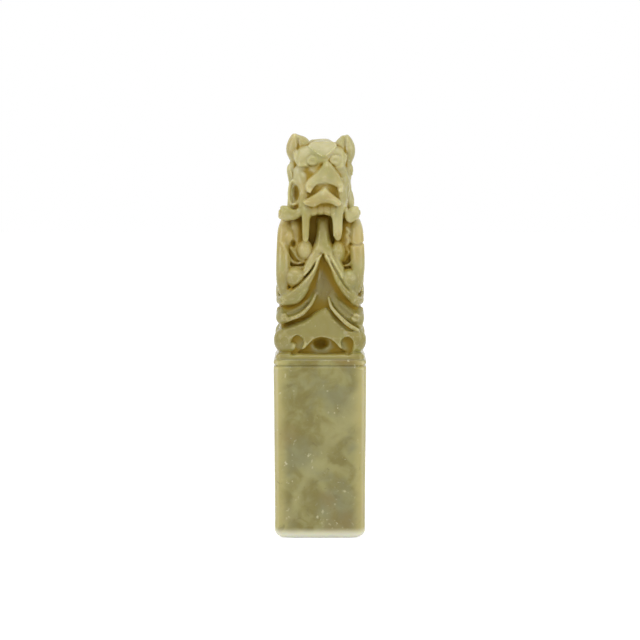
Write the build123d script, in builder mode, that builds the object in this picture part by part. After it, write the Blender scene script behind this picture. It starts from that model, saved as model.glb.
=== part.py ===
from build123d import *
import os
from math import atan, degrees

# A stone seal: a square block with a dragon carved out of its upper half.
#
# The stone stands on its seal face, which lies on the XY plane round the origin. +Z is up, the dragon looks
# along -Y and +X is on the viewer's right. Every solid is one region of the single stone, divided along the
# lines that the carver cut: each is trimmed by the regions made before it and meets them face to face.
# Features are hewn in flat cuts as a carver roughs them out: sawn to a front outline, then to a side outline.
# Lengths are in millimetres. Front is how far a feature's face stands forward of the axis, and rise is the
# height of its foot above the top of the block, or above the throat for what is carved on the head.

# The block that the seal face is cut on
block_side = 20.0
block_foot_side = 19.5
block_height = 39.2
block_corner_radius = 2.2
foot_edge_radius = 1.7
shoulder_edge_radius = 1.2
groove_drop = 1.7
groove_height = 0.35
groove_depth = 0.3

# One overrun serves all cuts, and swellings have this many sides
overrun = 1.0
swelling_sides = 8

# The dragon's trunk, which stands on a ledge on the block
ledge_inset = 1.4
ledge_height = 2.6
ledge_corner_cut = 0.8
trunk_front = 5.8
trunk_width = 15.2
trunk_depth = 13.6
trunk_height = 27.5
trunk_corner_cut = 1.7

# The head under its features, from the throat, which is sunk in the trunk, to the crown
throat_sink = 0.5
head_front = 6.1
head_width = 12.0
head_depth = 12.8
head_height = 18.4
head_corner_cut = 1.8

# The open mouth, a little to the viewer's right of the axis, and the teeth and tusks that frame it
mouth_lean = 0.3
mouth_width = 4.6
mouth_height = 5.0
mouth_rise = -1.1
mouth_floor_front = 2.6
mouth_corner_radius = 0.9
tooth_front = 8.9
tooth_width = 1.5
tooth_height = 1.9
tooth_depth = 2.6
tooth_gap = 0.2
tooth_rise = 3.6
tusk_inner = 2.05
tusk_front = 8.5
tusk_width = 2.0
tusk_height = 6.4
tusk_depth = 4.2
tusk_rise = -1.9

# Muzzle, upper lip, nose, cheeks and whiskers
muzzle_lean = 0.5
muzzle_front = 8.3
muzzle_width = 8.8
muzzle_height = 8.2
muzzle_depth = 4.6
muzzle_rise = 3.6
lip_lean = 0.5
lip_front = 9.8
lip_width = 7.4
lip_height = 4.0
lip_depth = 3.4
lip_rise = 5.8
nose_lean = 1.0
nose_front = 9.95
nose_width = 7.4
nose_height = 5.8
nose_depth = 5.6
nose_rise = 9.2
cheek_pad_spacing = 4.6
cheek_pad_front = 5.6
cheek_pad_radius = 1.9
cheek_pad_half_height = 3.0
cheek_pad_rise = 9.6
whisker_inner = 3.0
whisker_front = 8.3
whisker_width = 5.6
whisker_height = 5.9
whisker_depth = 4.6
whisker_rise = 2.8

# Brow shelf with its eyes, forehead plate and the dome of the crown
shelf_front = 7.2
shelf_width = 10.8
shelf_height = 4.4
shelf_depth = 6.4
shelf_rise = 13.8
eye_lean = 0.75
eye_spacing = 2.4
eye_front = 6.8
eye_radius = 1.15
eye_rise = 15.3
forehead_lean = 0.7
forehead_front = 6.2
forehead_width = 4.8
forehead_height = 3.2
forehead_depth = 4.2
forehead_rise = 15.9
dome_lean = 0.6
dome_set_back = 1.0
dome_radius = 3.1
dome_half_height = 3.4
dome_rise = 16.0

# Ears, and the mane beside the head
ear_inner = 2.3
ear_front = 2.3
ear_width = 5.1
ear_height = 7.4
ear_depth = 4.4
ear_rise = 13.4
ear_groove_radius = 0.45
mane_inner = 3.6
mane_front = 4.2
mane_width = 3.5
mane_height = 15.2
mane_depth = 10.0
mane_rise = -0.6

# Lower jaw and beard: two lobes, the root that hangs out of the mouth, two strands and two locks
lobe_spacing = 3.4
lobe_front = 6.7
lobe_radius = 1.45
lobe_half_height = 2.1
lobe_rise = 23.5
root_lean = 0.5
root_front = 8.3
root_width = 4.6
root_height = 8.2
root_depth = 4.8
root_rise = 21.3
strand_inner = 0.8
strand_front = 8.8
strand_width = 4.0
strand_height = 9.6
strand_depth = 3.6
strand_rise = 16.6
lock_inner = 0.2
lock_front = 9.4
lock_width = 8.6
lock_height = 10.6
lock_depth = 4.4
lock_rise = 11.2

# Shoulders, forelegs, haunches, flanks with the hind feet, and the scaled ribs
shoulder_spacing = 6.5
shoulder_front = 1.6
shoulder_radius = 2.6
shoulder_half_height = 3.8
shoulder_rise = 25.6
foreleg_spacing = 7.45
foreleg_front = 4.6
foreleg_lean = 2.4
foreleg_radius = 2.1
foreleg_length = 15.2
foreleg_rise = 12.4
haunch_spacing = 6.2
haunch_front = 5.9
haunch_radius = 2.5
haunch_half_height = 3.7
haunch_rise = 16.2
flank_spacing = 6.2
flank_set_back = 3.8
flank_radius = 3.3
flank_half_height = 4.9
flank_rise = 13.6
hind_foot_spacing = 7.9
hind_foot_radius = 1.3
hind_foot_length = 9.6
hind_foot_toe = 3.4
hind_foot_rise = 8.3
hind_foot_lift = 1.6
ribs_inner = 6.6
ribs_front = 5.8
ribs_width = 2.4
ribs_height = 17.0
ribs_depth = 12.6
ribs_rise = 9.4

# Lower drape, between the beard and the clouds
drape_inner = 0.3
drape_front = 8.9
drape_width = 8.9
drape_height = 8.6
drape_depth = 3.6
drape_rise = 6.6

# Clouds round the foot: an apron on each face with two volutes, and a curl at each corner
apron_inset = 0.15
apron_width = 15.8
apron_height = 9.4
apron_depth = 5.0
apron_rise = 1.4
volute_radius = 1.25
volute_spacing = 5.2
volute_rise = 2.9
volute_depth = 1.5
curl_inset = 2.25
curl_radius = 2.15
curl_half_height = 2.5
curl_rise = 3.4

# The back: locks of mane that fan out downwards, a row of scales down the spine, the curled tail and its flames
back_lock_count = 5
back_lock_spacing = 2.45
back_lock_fan = 0.8
back_lock_set_back = 6.4
back_lock_fall = 4.6
back_lock_radius = 1.45
back_lock_length = 21.0
back_lock_rise = -3.6
scale_count = 3
scale_spacing = 3.5
scale_reach = 9.2
scale_width = 4.4
scale_height = 4.8
scale_depth = 2.6
scale_rise = 13.2
tail_lean = -0.75
tail_reach = 9.6
tail_width = 13.3
tail_height = 10.9
tail_depth = 2.6
tail_rise = 6.6
tail_eye_lean = -3.6
tail_eye_rise = 14.2
tail_eye_radius = 0.9
flame_inner = 1.2
flame_reach = 9.2
flame_width = 7.4
flame_height = 12.6
flame_depth = 2.4
flame_rise = 8.2

# Heights and distances that several features follow
throat_height = block_height + trunk_height - throat_sink
apron_front = block_side / 2 - apron_inset
curl_spacing = block_side / 2 - curl_inset

# The outline of a swelling, as shares of its radius and of its length
swelling_shares = [
    (-0.35, 0.0), (0.35, 0.0), (1.0, 0.32), (1.0, 0.68), (0.35, 1.0), (-0.35, 1.0), (-1.0, 0.68), (-1.0, 0.32),
]
ear_groove_share = 0.48

# Front outlines, as shares of a feature's width and height: outward from the middle, and up from the foot
trunk_front_shares = [(-0.5, 0.0), (-0.5, 0.83), (-0.42, 1.0), (0.42, 1.0), (0.5, 0.83), (0.5, 0.0)]
head_front_shares = [
    (-0.39, 0.0), (-0.5, 0.43), (-0.47, 0.84), (-0.32, 1.0), (0.32, 1.0), (0.47, 0.84), (0.5, 0.43), (0.39, 0.0),
]
tooth_front_shares = [(0.0, 0.0), (0.9, 0.0), (1.0, 0.35), (1.0, 1.0), (0.0, 1.0)]
tusk_front_shares = [(0.0, 0.1), (0.2, 0.0), (0.8, 0.0), (1.0, 0.12), (0.95, 1.0), (0.1, 1.0)]
muzzle_front_shares = [(-0.5, 0.0), (-0.48, 0.5), (-0.36, 1.0), (0.36, 1.0), (0.48, 0.5), (0.5, 0.0)]
lip_front_shares = [
    (-0.3, 0.03), (-0.12, 0.18), (0.12, 0.2), (0.33, 0.0), (0.46, 0.05), (0.5, 0.2), (0.25, 0.62),
    (0.09, 0.96), (-0.06, 0.96), (-0.25, 0.6), (-0.5, 0.27), (-0.43, 0.08),
]
nose_front_shares = [
    (-0.38, 0.0), (-0.26, 0.17), (-0.1, 0.36), (0.2, 0.36), (0.34, 0.18), (0.44, 0.0), (0.5, 0.2),
    (0.48, 0.45), (0.25, 0.72), (0.13, 0.97), (-0.04, 0.97), (-0.17, 0.74), (-0.46, 0.48), (-0.5, 0.25),
]
whisker_front_shares = [
    (0.0, 0.6), (0.12, 0.36), (0.36, 0.06), (0.62, 0.0), (0.97, 0.06), (1.0, 0.24), (0.94, 0.46),
    (0.8, 0.43), (0.64, 0.27), (0.43, 0.33), (0.26, 0.6), (0.14, 1.0), (0.02, 1.0),
]
shelf_front_shares = [
    (-0.45, 0.0), (-0.5, 0.22), (-0.48, 0.88), (-0.32, 0.98), (0.32, 0.98), (0.48, 0.88), (0.5, 0.22),
    (0.45, 0.0),
]
forehead_front_shares = [(-0.5, 0.55), (0.0, 0.0), (0.5, 0.55), (0.3, 0.95), (-0.3, 0.95)]
ear_front_shares = [
    (0.4, 0.0), (0.62, 0.0), (0.85, 0.2), (1.0, 0.5), (0.96, 0.75), (0.72, 1.0), (0.48, 0.93),
    (0.22, 0.88), (0.0, 0.7), (0.08, 0.55), (0.3, 0.45),
]
mane_front_shares = [(0.0, 0.0), (0.7, 0.0), (0.95, 0.12), (1.0, 0.5), (0.92, 0.9), (0.7, 1.0), (0.0, 1.0)]
root_front_shares = [(-0.5, 0.0), (-0.36, 0.42), (-0.27, 0.93), (0.0, 1.0), (0.27, 0.93), (0.36, 0.42), (0.5, 0.0)]
strand_front_shares = [
    (0.0, 1.0), (0.1, 0.62), (0.35, 0.3), (0.85, 0.0), (1.0, 0.1), (0.8, 0.36), (0.5, 0.62), (0.28, 1.0),
]
lock_front_shares = [
    (0.0, 1.0), (0.08, 0.72), (0.2, 0.42), (0.37, 0.14), (0.52, 0.03), (1.0, 0.0), (0.97, 0.16),
    (0.63, 0.34), (0.38, 0.52), (0.2, 0.78), (0.12, 1.0),
]
drape_front_shares = [
    (0.0, 1.0), (0.22, 0.52), (0.5, 0.22), (0.95, 0.0), (1.0, 0.2), (0.9, 0.44), (0.5, 0.6), (0.2, 0.9),
]
apron_front_shares = [
    (-0.5, 0.02), (-0.28, 0.0), (-0.19, 0.13), (0.0, 0.3), (0.2, 0.2), (0.32, 0.0), (0.5, 0.02),
    (0.5, 0.46), (0.33, 0.68), (0.2, 0.9), (0.07, 1.0), (-0.13, 0.86), (-0.3, 0.66), (-0.5, 0.48),
]
ribs_front_shares = [(0.0, 0.0), (0.55, 0.0), (0.93, 0.24), (1.0, 0.5), (0.9, 0.78), (0.6, 1.0), (0.0, 1.0)]
scale_front_shares = [(0.0, 0.0), (0.34, 0.22), (0.5, 0.6), (0.4, 1.0), (-0.4, 1.0), (-0.5, 0.6), (-0.34, 0.22)]
tail_front_shares = [
    (0.5, 0.13), (0.42, 0.01), (0.13, 0.0), (-0.21, 0.06), (-0.5, 0.38), (-0.48, 0.73), (-0.36, 0.95),
    (-0.12, 1.0), (0.01, 0.84), (0.03, 0.55), (-0.03, 0.37), (0.18, 0.28), (0.42, 0.26),
]
flame_front_shares = [
    (0.05, 0.02), (0.14, 0.38), (0.09, 0.66), (0.3, 1.0), (0.35, 0.71), (0.57, 0.92), (0.64, 0.63),
    (0.85, 0.85), (1.0, 0.5), (0.95, 0.14), (0.73, 0.0),
]

# Side outlines, as shares of a feature's depth and height: back from the front, and up from the foot
trunk_side_shares = [(0.0, 0.0), (0.0, 0.8), (0.08, 0.94), (0.09, 1.0), (0.91, 1.0), (1.0, 0.84), (1.0, 0.0)]
head_side_shares = [
    (0.14, 0.0), (0.0, 0.43), (0.09, 0.84), (0.3, 1.0), (0.8, 1.0), (0.95, 0.84), (1.0, 0.43), (0.97, 0.0),
]
tooth_side_shares = [(0.1, 0.0), (0.0, 0.3), (0.0, 1.0), (1.0, 1.0), (1.0, 0.0)]
tusk_side_shares = [(0.12, 0.0), (0.0, 0.15), (0.05, 1.0), (1.0, 1.0), (1.0, 0.0)]
muzzle_side_shares = [(0.05, 0.0), (0.0, 0.4), (0.1, 0.7), (0.35, 1.0), (1.0, 1.0), (1.0, 0.0)]
lip_side_shares = [(0.16, 0.0), (0.0, 0.1), (0.02, 0.32), (0.45, 1.0), (1.0, 1.0), (1.0, 0.0)]
nose_side_shares = [(0.14, 0.0), (0.0, 0.2), (0.04, 0.42), (0.62, 1.0), (1.0, 1.0), (1.0, 0.0)]
whisker_side_shares = [(0.1, 0.0), (0.0, 0.4), (0.05, 1.0), (1.0, 1.0), (1.0, 0.0)]
shelf_side_shares = [(0.08, 0.0), (0.0, 0.15), (0.02, 0.45), (0.4, 1.0), (1.0, 1.0), (1.0, 0.0)]
forehead_side_shares = [(0.06, 0.0), (0.0, 0.1), (0.7, 1.0), (1.0, 1.0), (1.0, 0.0)]
ear_side_shares = [(0.1, 0.0), (0.0, 0.3), (0.15, 0.8), (0.4, 1.0), (0.6, 1.0), (0.9, 0.6), (1.0, 0.0)]
mane_side_shares = [
    (0.12, 0.34), (0.0, 0.5), (0.05, 0.94), (0.2, 1.0), (0.75, 1.0), (1.0, 0.85), (1.0, 0.06), (0.92, 0.0),
    (0.7, 0.2), (0.62, 0.1), (0.46, 0.28), (0.36, 0.2), (0.26, 0.38),
]
root_side_shares = [(0.06, 0.0), (0.0, 0.08), (0.14, 0.55), (0.5, 1.0), (1.0, 1.0), (1.0, 0.0)]
strand_side_shares = [(0.25, 1.0), (0.0, 0.4), (0.2, 0.0), (1.0, 0.0), (1.0, 1.0)]
lock_side_shares = [(0.3, 1.0), (0.1, 0.45), (0.0, 0.12), (0.15, 0.0), (1.0, 0.0), (1.0, 1.0)]
drape_side_shares = [(0.3, 1.0), (0.0, 0.25), (0.12, 0.0), (1.0, 0.0), (1.0, 1.0)]
apron_side_shares = [(0.2, 0.0), (0.05, 0.1), (0.0, 0.3), (0.07, 0.5), (0.42, 1.0), (1.0, 1.0), (1.0, 0.0)]
ribs_side_shares = [
    (0.26, 0.0), (0.06, 0.22), (0.0, 0.5), (0.1, 0.82), (0.3, 1.0), (0.62, 1.0), (0.88, 0.82), (1.0, 0.5),
    (0.94, 0.22), (0.74, 0.0),
]
scale_side_shares = [(0.0, 0.08), (0.15, 0.0), (1.0, 0.0), (1.0, 1.0), (0.45, 1.0)]
tail_side_shares = [(0.25, 0.0), (0.0, 0.12), (0.0, 0.9), (0.2, 1.0), (1.0, 1.0), (1.0, 0.0)]
flame_side_shares = [(0.3, 0.0), (0.0, 0.3), (0.1, 0.9), (0.3, 1.0), (1.0, 1.0), (1.0, 0.0)]

hands = {"left": -1, "right": 1}
made = {}


def sawn(front_shares, side_shares, start, foot, front, width, height, depth, hand=1):
    """A solid sawn to a front outline and then to a side outline. A hand of -1 mirrors the front outline."""
    front_outline = [(start + hand * u * width, foot + v * height) for u, v in front_shares]
    side_outline = [(d * depth - front, foot + v * height) for d, v in side_shares]
    with BuildPart() as piece:
        with BuildSketch(Plane.XZ):
            with BuildLine():
                Polyline(*front_outline, close=True)
            make_face()
        extrude(amount=block_side, both=True)
        with BuildSketch(Plane.YZ):
            with BuildLine():
                Polyline(*side_outline, close=True)
            make_face()
        extrude(amount=block_side, both=True, mode=Mode.INTERSECT)
    return piece.part


def swelling(foot, tip, radius):
    """A swelling that tapers to its foot and its tip: an octagonal bar sawn to one outline from two sides."""
    long_axis = Vector(tip) - Vector(foot)
    stand = Plane(origin=foot, x_dir=long_axis.cross(Vector(0, 1, 0)), z_dir=long_axis)
    side_outline = [(u * radius, v * long_axis.length) for u, v in swelling_shares]
    with BuildPart() as piece:
        with BuildSketch(stand):
            RegularPolygon(radius, swelling_sides)
        extrude(amount=long_axis.length)
        for across in (stand.x_dir, stand.y_dir):
            with BuildSketch(Plane(origin=foot, x_dir=across, z_dir=across.cross(long_axis))):
                with BuildLine():
                    Polyline(*side_outline, close=True)
                make_face()
            extrude(amount=radius, both=True, mode=Mode.INTERSECT)
    return piece.part


def upright(across, back, height, radius, half_height):
    """An upright swelling round a centre."""
    return swelling((across, back, height - half_height), (across, back, height + half_height), radius)


def meet(one, other):
    """Whether two boxes overlap."""
    spans = [
        (one.min.X, one.max.X, other.min.X, other.max.X), (one.min.Y, one.max.Y, other.min.Y, other.max.Y),
        (one.min.Z, one.max.Z, other.min.Z, other.max.Z),
    ]
    return all(low < other_high and other_low < high for low, high, other_low, other_high in spans)


def keep(name, shape):
    """Trims a region by the regions made before it, labels it and writes it. Crumbs of the cut are dropped."""
    box = shape.bounding_box()
    with BuildPart() as region:
        add(shape)
        for earlier, earlier_box in made.values():
            if meet(box, earlier_box):
                add(earlier, mode=Mode.SUBTRACT)
    whole = region.part.solids().sort_by(SortBy.VOLUME)[-1]
    whole.label = name
    made[name] = (whole, whole.bounding_box())
    export_step(whole, f"parts/{name}.step")


os.makedirs("parts", exist_ok=True)

# Block with its seal face, eased edges and the line cut round its shoulder
with BuildPart() as seal_block:
    with BuildSketch(Plane.XY.offset(block_height)):
        RectangleRounded(block_side, block_side, block_corner_radius)
    extrude(amount=-block_height, taper=degrees(atan((block_side - block_foot_side) / 2 / block_height)))
    fillet(seal_block.faces().sort_by(Axis.Z)[0].edges(), foot_edge_radius)
    fillet(seal_block.faces().sort_by(Axis.Z)[-1].edges(), shoulder_edge_radius)
    with BuildSketch(Plane.XY.offset(block_height - groove_drop)):
        groove_side = block_side - 2 * groove_depth
        RectangleRounded(block_side + overrun, block_side + overrun, block_corner_radius)
        RectangleRounded(groove_side, groove_side, block_corner_radius - groove_depth, mode=Mode.SUBTRACT)
    extrude(amount=groove_height / 2, both=True, mode=Mode.SUBTRACT)
keep("seal_block", seal_block.part)

# Trunk of the dragon on its ledge, with corners cut off, which carries everything between block and head
ledge_side = block_side - 2 * ledge_inset
with BuildPart() as trunk:
    add(sawn(
        trunk_front_shares, trunk_side_shares, 0, block_height, trunk_front,
        trunk_width, trunk_height, trunk_depth,
    ))
    with BuildSketch(Plane.XY.offset(block_height)) as trunk_plan:
        with Locations((0, trunk_depth / 2 - trunk_front)):
            Rectangle(trunk_width, trunk_depth)
        chamfer(trunk_plan.vertices(), trunk_corner_cut)
    extrude(amount=trunk_height, mode=Mode.INTERSECT)
    with BuildSketch(Plane.XY.offset(block_height)) as ledge_plan:
        Rectangle(ledge_side, ledge_side)
        chamfer(ledge_plan.vertices(), ledge_corner_cut)
    extrude(amount=ledge_height)
keep("trunk", trunk.part)

# Head under its features, with its corners cut off and the open mouth cut into it
with BuildPart() as head:
    add(sawn(
        head_front_shares, head_side_shares, 0, throat_height, head_front, head_width, head_height, head_depth,
    ))
    with BuildSketch(Plane.XY.offset(throat_height)) as head_plan:
        with Locations((0, head_depth / 2 - head_front)):
            Rectangle(head_width, head_depth)
        chamfer(head_plan.vertices(), head_corner_cut)
    extrude(amount=head_height, mode=Mode.INTERSECT)
    with BuildSketch(Plane.XZ.offset(mouth_floor_front)):
        with Locations((mouth_lean, throat_height + mouth_rise + mouth_height / 2)):
            RectangleRounded(mouth_width, mouth_height, mouth_corner_radius)
    extrude(amount=block_side, mode=Mode.SUBTRACT)
keep("head", head.part)

# Clouds round the foot
for number, (across, back) in enumerate([(-1, -1), (1, -1), (1, 1), (-1, 1)], start=1):
    curl_place = (across * curl_spacing, back * curl_spacing, block_height + curl_rise)
    keep(f"cloud_curl_{number}", upright(*curl_place, curl_radius, curl_half_height))

with BuildPart() as apron:
    add(sawn(
        apron_front_shares, apron_side_shares, 0, block_height + apron_rise, apron_front,
        apron_width, apron_height, apron_depth,
    ))
    with BuildSketch(Plane.XZ.offset(apron_front)):
        with Locations(*[(hand * volute_spacing, block_height + volute_rise) for hand in hands.values()]):
            RegularPolygon(volute_radius, swelling_sides)
    extrude(amount=-volute_depth, mode=Mode.SUBTRACT)
for turn, name in enumerate(["front_apron", "right_apron", "rear_apron", "left_apron"]):
    keep(name, apron.part.rotate(Axis.Z, turn * 90))

# Teeth and tusks
for side, hand in hands.items():
    keep(f"{side}_tooth", sawn(
        tooth_front_shares, tooth_side_shares, mouth_lean + hand * tooth_gap / 2, throat_height + tooth_rise,
        tooth_front, tooth_width, tooth_height, tooth_depth, hand,
    ))
    keep(f"{side}_tusk", sawn(
        tusk_front_shares, tusk_side_shares, mouth_lean + hand * tusk_inner, throat_height + tusk_rise,
        tusk_front, tusk_width, tusk_height, tusk_depth, hand,
    ))

# Nose, upper lip and muzzle, from the front backwards
keep("nose", sawn(
    nose_front_shares, nose_side_shares, nose_lean, throat_height + nose_rise, nose_front,
    nose_width, nose_height, nose_depth,
))
keep("upper_lip", sawn(
    lip_front_shares, lip_side_shares, lip_lean, throat_height + lip_rise, lip_front,
    lip_width, lip_height, lip_depth,
))
keep("muzzle", sawn(
    muzzle_front_shares, muzzle_side_shares, muzzle_lean, throat_height + muzzle_rise, muzzle_front,
    muzzle_width, muzzle_height, muzzle_depth,
))

# Forehead plate, eyes, the brow shelf that they are set in, and the dome of the crown
keep("forehead_plate", sawn(
    forehead_front_shares, forehead_side_shares, forehead_lean, throat_height + forehead_rise, forehead_front,
    forehead_width, forehead_height, forehead_depth,
))
for side, hand in hands.items():
    eye_place = (eye_lean + hand * eye_spacing, -eye_front, throat_height + eye_rise)
    keep(f"{side}_eye", upright(*eye_place, eye_radius, eye_radius))
keep("brow_shelf", sawn(
    shelf_front_shares, shelf_side_shares, 0, throat_height + shelf_rise, shelf_front,
    shelf_width, shelf_height, shelf_depth,
))
keep("crown", upright(dome_lean, dome_set_back, throat_height + dome_rise, dome_radius, dome_half_height))

# Beard root out of the mouth
keep("beard_root", sawn(
    root_front_shares, root_side_shares, root_lean, block_height + root_rise, root_front,
    root_width, root_height, root_depth,
))

# Pairs on the head
for side, hand in hands.items():
    with BuildPart() as ear:
        add(sawn(
            ear_front_shares, ear_side_shares, hand * ear_inner, throat_height + ear_rise, ear_front,
            ear_width, ear_height, ear_depth, hand,
        ))
        with BuildSketch(Plane.XY.offset(throat_height + ear_rise)):
            with Locations((hand * (ear_inner + ear_groove_share * ear_width), -ear_front)):
                Circle(ear_groove_radius)
        extrude(amount=ear_height + overrun, mode=Mode.SUBTRACT)
    keep(f"{side}_ear", ear.part)
    cheek_place = (muzzle_lean + hand * cheek_pad_spacing, -cheek_pad_front, throat_height + cheek_pad_rise)
    keep(f"{side}_cheek", upright(*cheek_place, cheek_pad_radius, cheek_pad_half_height))
    keep(f"{side}_whisker", sawn(
        whisker_front_shares, whisker_side_shares, hand * whisker_inner, throat_height + whisker_rise,
        whisker_front, whisker_width, whisker_height, whisker_depth, hand,
    ))
    keep(f"{side}_mane", sawn(
        mane_front_shares, mane_side_shares, hand * mane_inner, throat_height + mane_rise, mane_front,
        mane_width, mane_height, mane_depth, hand,
    ))

# Pairs on the trunk, from the jaw down to the drape
for side, hand in hands.items():
    lobe_place = (mouth_lean + hand * lobe_spacing, -lobe_front, block_height + lobe_rise)
    keep(f"{side}_jaw_lobe", upright(*lobe_place, lobe_radius, lobe_half_height))
    keep(f"{side}_beard_lock", sawn(
        lock_front_shares, lock_side_shares, hand * lock_inner, block_height + lock_rise, lock_front,
        lock_width, lock_height, lock_depth, hand,
    ))
    keep(f"{side}_beard_strand", sawn(
        strand_front_shares, strand_side_shares, hand * strand_inner, block_height + strand_rise, strand_front,
        strand_width, strand_height, strand_depth, hand,
    ))
    keep(f"{side}_drape", sawn(
        drape_front_shares, drape_side_shares, hand * drape_inner, block_height + drape_rise, drape_front,
        drape_width, drape_height, drape_depth, hand,
    ))
    foreleg_foot = (hand * foreleg_spacing, -foreleg_front, block_height + foreleg_rise)
    foreleg_tip = (hand * foreleg_spacing, foreleg_lean - foreleg_front, foreleg_foot[2] + foreleg_length)
    keep(f"{side}_foreleg", swelling(foreleg_foot, foreleg_tip, foreleg_radius))
    haunch_place = (hand * haunch_spacing, -haunch_front, block_height + haunch_rise)
    keep(f"{side}_haunch", upright(*haunch_place, haunch_radius, haunch_half_height))
    shoulder_place = (hand * shoulder_spacing, -shoulder_front, block_height + shoulder_rise)
    keep(f"{side}_shoulder", upright(*shoulder_place, shoulder_radius, shoulder_half_height))
    toe = (hand * hind_foot_spacing, -hind_foot_toe, block_height + hind_foot_rise)
    heel = (hand * hind_foot_spacing, hind_foot_length - hind_foot_toe, toe[2] + hind_foot_lift)
    with BuildPart() as flank:
        add(upright(
            hand * flank_spacing, flank_set_back, block_height + flank_rise, flank_radius, flank_half_height,
        ))
        add(swelling(toe, heel, hind_foot_radius))
    keep(f"{side}_flank", flank.part)
    keep(f"{side}_ribs", sawn(
        ribs_front_shares, ribs_side_shares, hand * ribs_inner, block_height + ribs_rise, ribs_front,
        ribs_width, ribs_height, ribs_depth, hand,
    ))

# Back, from the crown down to the tail
for number in range(back_lock_count):
    place = number - (back_lock_count - 1) / 2
    lock_height_above = throat_height + back_lock_rise
    lock_foot = (
        place * (back_lock_spacing + back_lock_fan), back_lock_set_back + back_lock_fall / 2, lock_height_above
    )
    lock_top = (
        place * back_lock_spacing, back_lock_set_back - back_lock_fall / 2, lock_height_above + back_lock_length
    )
    keep(f"back_lock_{number + 1}", swelling(lock_foot, lock_top, back_lock_radius))
for number in range(scale_count):
    scale_foot = block_height + scale_rise + number * scale_spacing
    keep(f"spine_scale_{number + 1}", sawn(
        scale_front_shares, scale_side_shares, 0, scale_foot, -scale_reach, scale_width, scale_height,
        -scale_depth,
    ))
with BuildPart() as tail:
    add(sawn(
        tail_front_shares, tail_side_shares, tail_lean, block_height + tail_rise, -tail_reach, tail_width,
        tail_height, -tail_depth,
    ))
    with BuildSketch(Plane.XZ.offset(-tail_reach)):
        with Locations((tail_eye_lean, block_height + tail_eye_rise)):
            RegularPolygon(tail_eye_radius, swelling_sides)
    extrude(amount=tail_depth, mode=Mode.SUBTRACT)
keep("tail", tail.part)
keep("tail_flames", sawn(
    flame_front_shares, flame_side_shares, flame_inner, block_height + flame_rise, -flame_reach, flame_width,
    flame_height, -flame_depth,
))
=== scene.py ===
import math
from collections import namedtuple
from functools import cached_property
from itertools import product

import bmesh
import bpy
import numpy as np
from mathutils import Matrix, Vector


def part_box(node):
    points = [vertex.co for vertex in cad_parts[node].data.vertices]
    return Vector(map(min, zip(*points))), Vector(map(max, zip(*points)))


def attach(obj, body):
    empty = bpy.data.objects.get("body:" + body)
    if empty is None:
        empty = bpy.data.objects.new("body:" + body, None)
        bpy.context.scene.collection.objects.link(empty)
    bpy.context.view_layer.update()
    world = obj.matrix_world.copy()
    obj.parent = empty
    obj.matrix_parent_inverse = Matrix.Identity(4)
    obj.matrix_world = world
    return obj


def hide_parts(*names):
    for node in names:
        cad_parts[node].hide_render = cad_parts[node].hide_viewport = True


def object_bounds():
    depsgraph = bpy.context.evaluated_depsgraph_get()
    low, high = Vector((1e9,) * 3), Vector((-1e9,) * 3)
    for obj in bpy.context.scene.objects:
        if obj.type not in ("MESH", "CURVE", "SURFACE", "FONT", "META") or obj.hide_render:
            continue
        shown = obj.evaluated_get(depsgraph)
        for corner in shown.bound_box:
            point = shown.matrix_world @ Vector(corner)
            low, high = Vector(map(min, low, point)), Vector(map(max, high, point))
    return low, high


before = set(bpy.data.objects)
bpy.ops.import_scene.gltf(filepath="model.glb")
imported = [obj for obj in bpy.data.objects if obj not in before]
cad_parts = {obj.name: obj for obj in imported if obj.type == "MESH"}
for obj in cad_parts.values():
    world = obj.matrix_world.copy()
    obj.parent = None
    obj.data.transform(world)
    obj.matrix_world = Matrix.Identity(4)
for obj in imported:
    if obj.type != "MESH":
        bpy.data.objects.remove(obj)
cad_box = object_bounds()

# The carving is sculpted on a grid of signed distances. Its places are in millimetres for a block 20 mm wide:
# across a face of the stone, out from the stone's axis, and up from the top of the block. The frame's block
# gives the scale and the height at which the carving stands. The stone reaches from its foot to its top and
# half its width to each side, FAR is the distance that empty places start with, and TINY keeps a division
# from failing.
BLOCK_SIDE = 20.0
GRID_STEP = 0.16
CURVE_STEPS = 5
FAR = 9.0
TINY = 1e-9
STONE_HALF = 9.97
STONE_FOOT = -0.5
STONE_TOP = 47.75
STONE_EDGE = 0.25
EDGE_BLEND = 0.5
TRIANGLE_BUDGET = 170000

# Engraving: how far out a mark takes to reach its full depth, how a line fades at its ends, and the rows of
# scales in widths of a scale
MARK_RISE = 0.5
LINE_END_DEPTH = 0.25
LINE_END_SLOPE = 5
SCALE_ROW_GAP = 0.45
SCALE_REACH = 0.53

# The attributes that measure how much stone lies round a point, by the reach of their cubes in grid steps
NEIGHBOURHOODS = (("crease", 2), ("hollow", 7), ("depth", 16))
NEIGHBOURHOOD_CONTRAST = 4

# The block in the same millimetres: its corners and edges, its taper, the line round its shoulder, how uneven
# its faces are, and how far up the painted light on its foot goes. The painted light on its upright edges is
# given in shares of half its width.
BLOCK_TURNS = 160
BLOCK_CORNER = 2.3
FOOT_EDGE = 1.7
FOOT_INSET = 0.25
SHOULDER_EDGE = 1.2
GROOVE_DROP = 1.7
GROOVE_DEPTH = 0.3
GROOVE_WIDTH = 0.28
FACE_WAVER = 0.05
PAINTED_LIGHT_FOOT = 3.2
FACE_SHARE = 0.9
PAINTED_LIGHT_EDGE_START = 0.55
PAINTED_LIGHT_EDGE_SPAN = 0.4

# The polish: how strongly the stone mirrors, how its roughness varies, and both where it is unpolished
GLOSS = 0.42
ROUGHNESS_SPREAD = 0.1
UNPOLISHED_GLOSS = 0.08
UNPOLISHED_ROUGHNESS = 0.35

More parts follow.
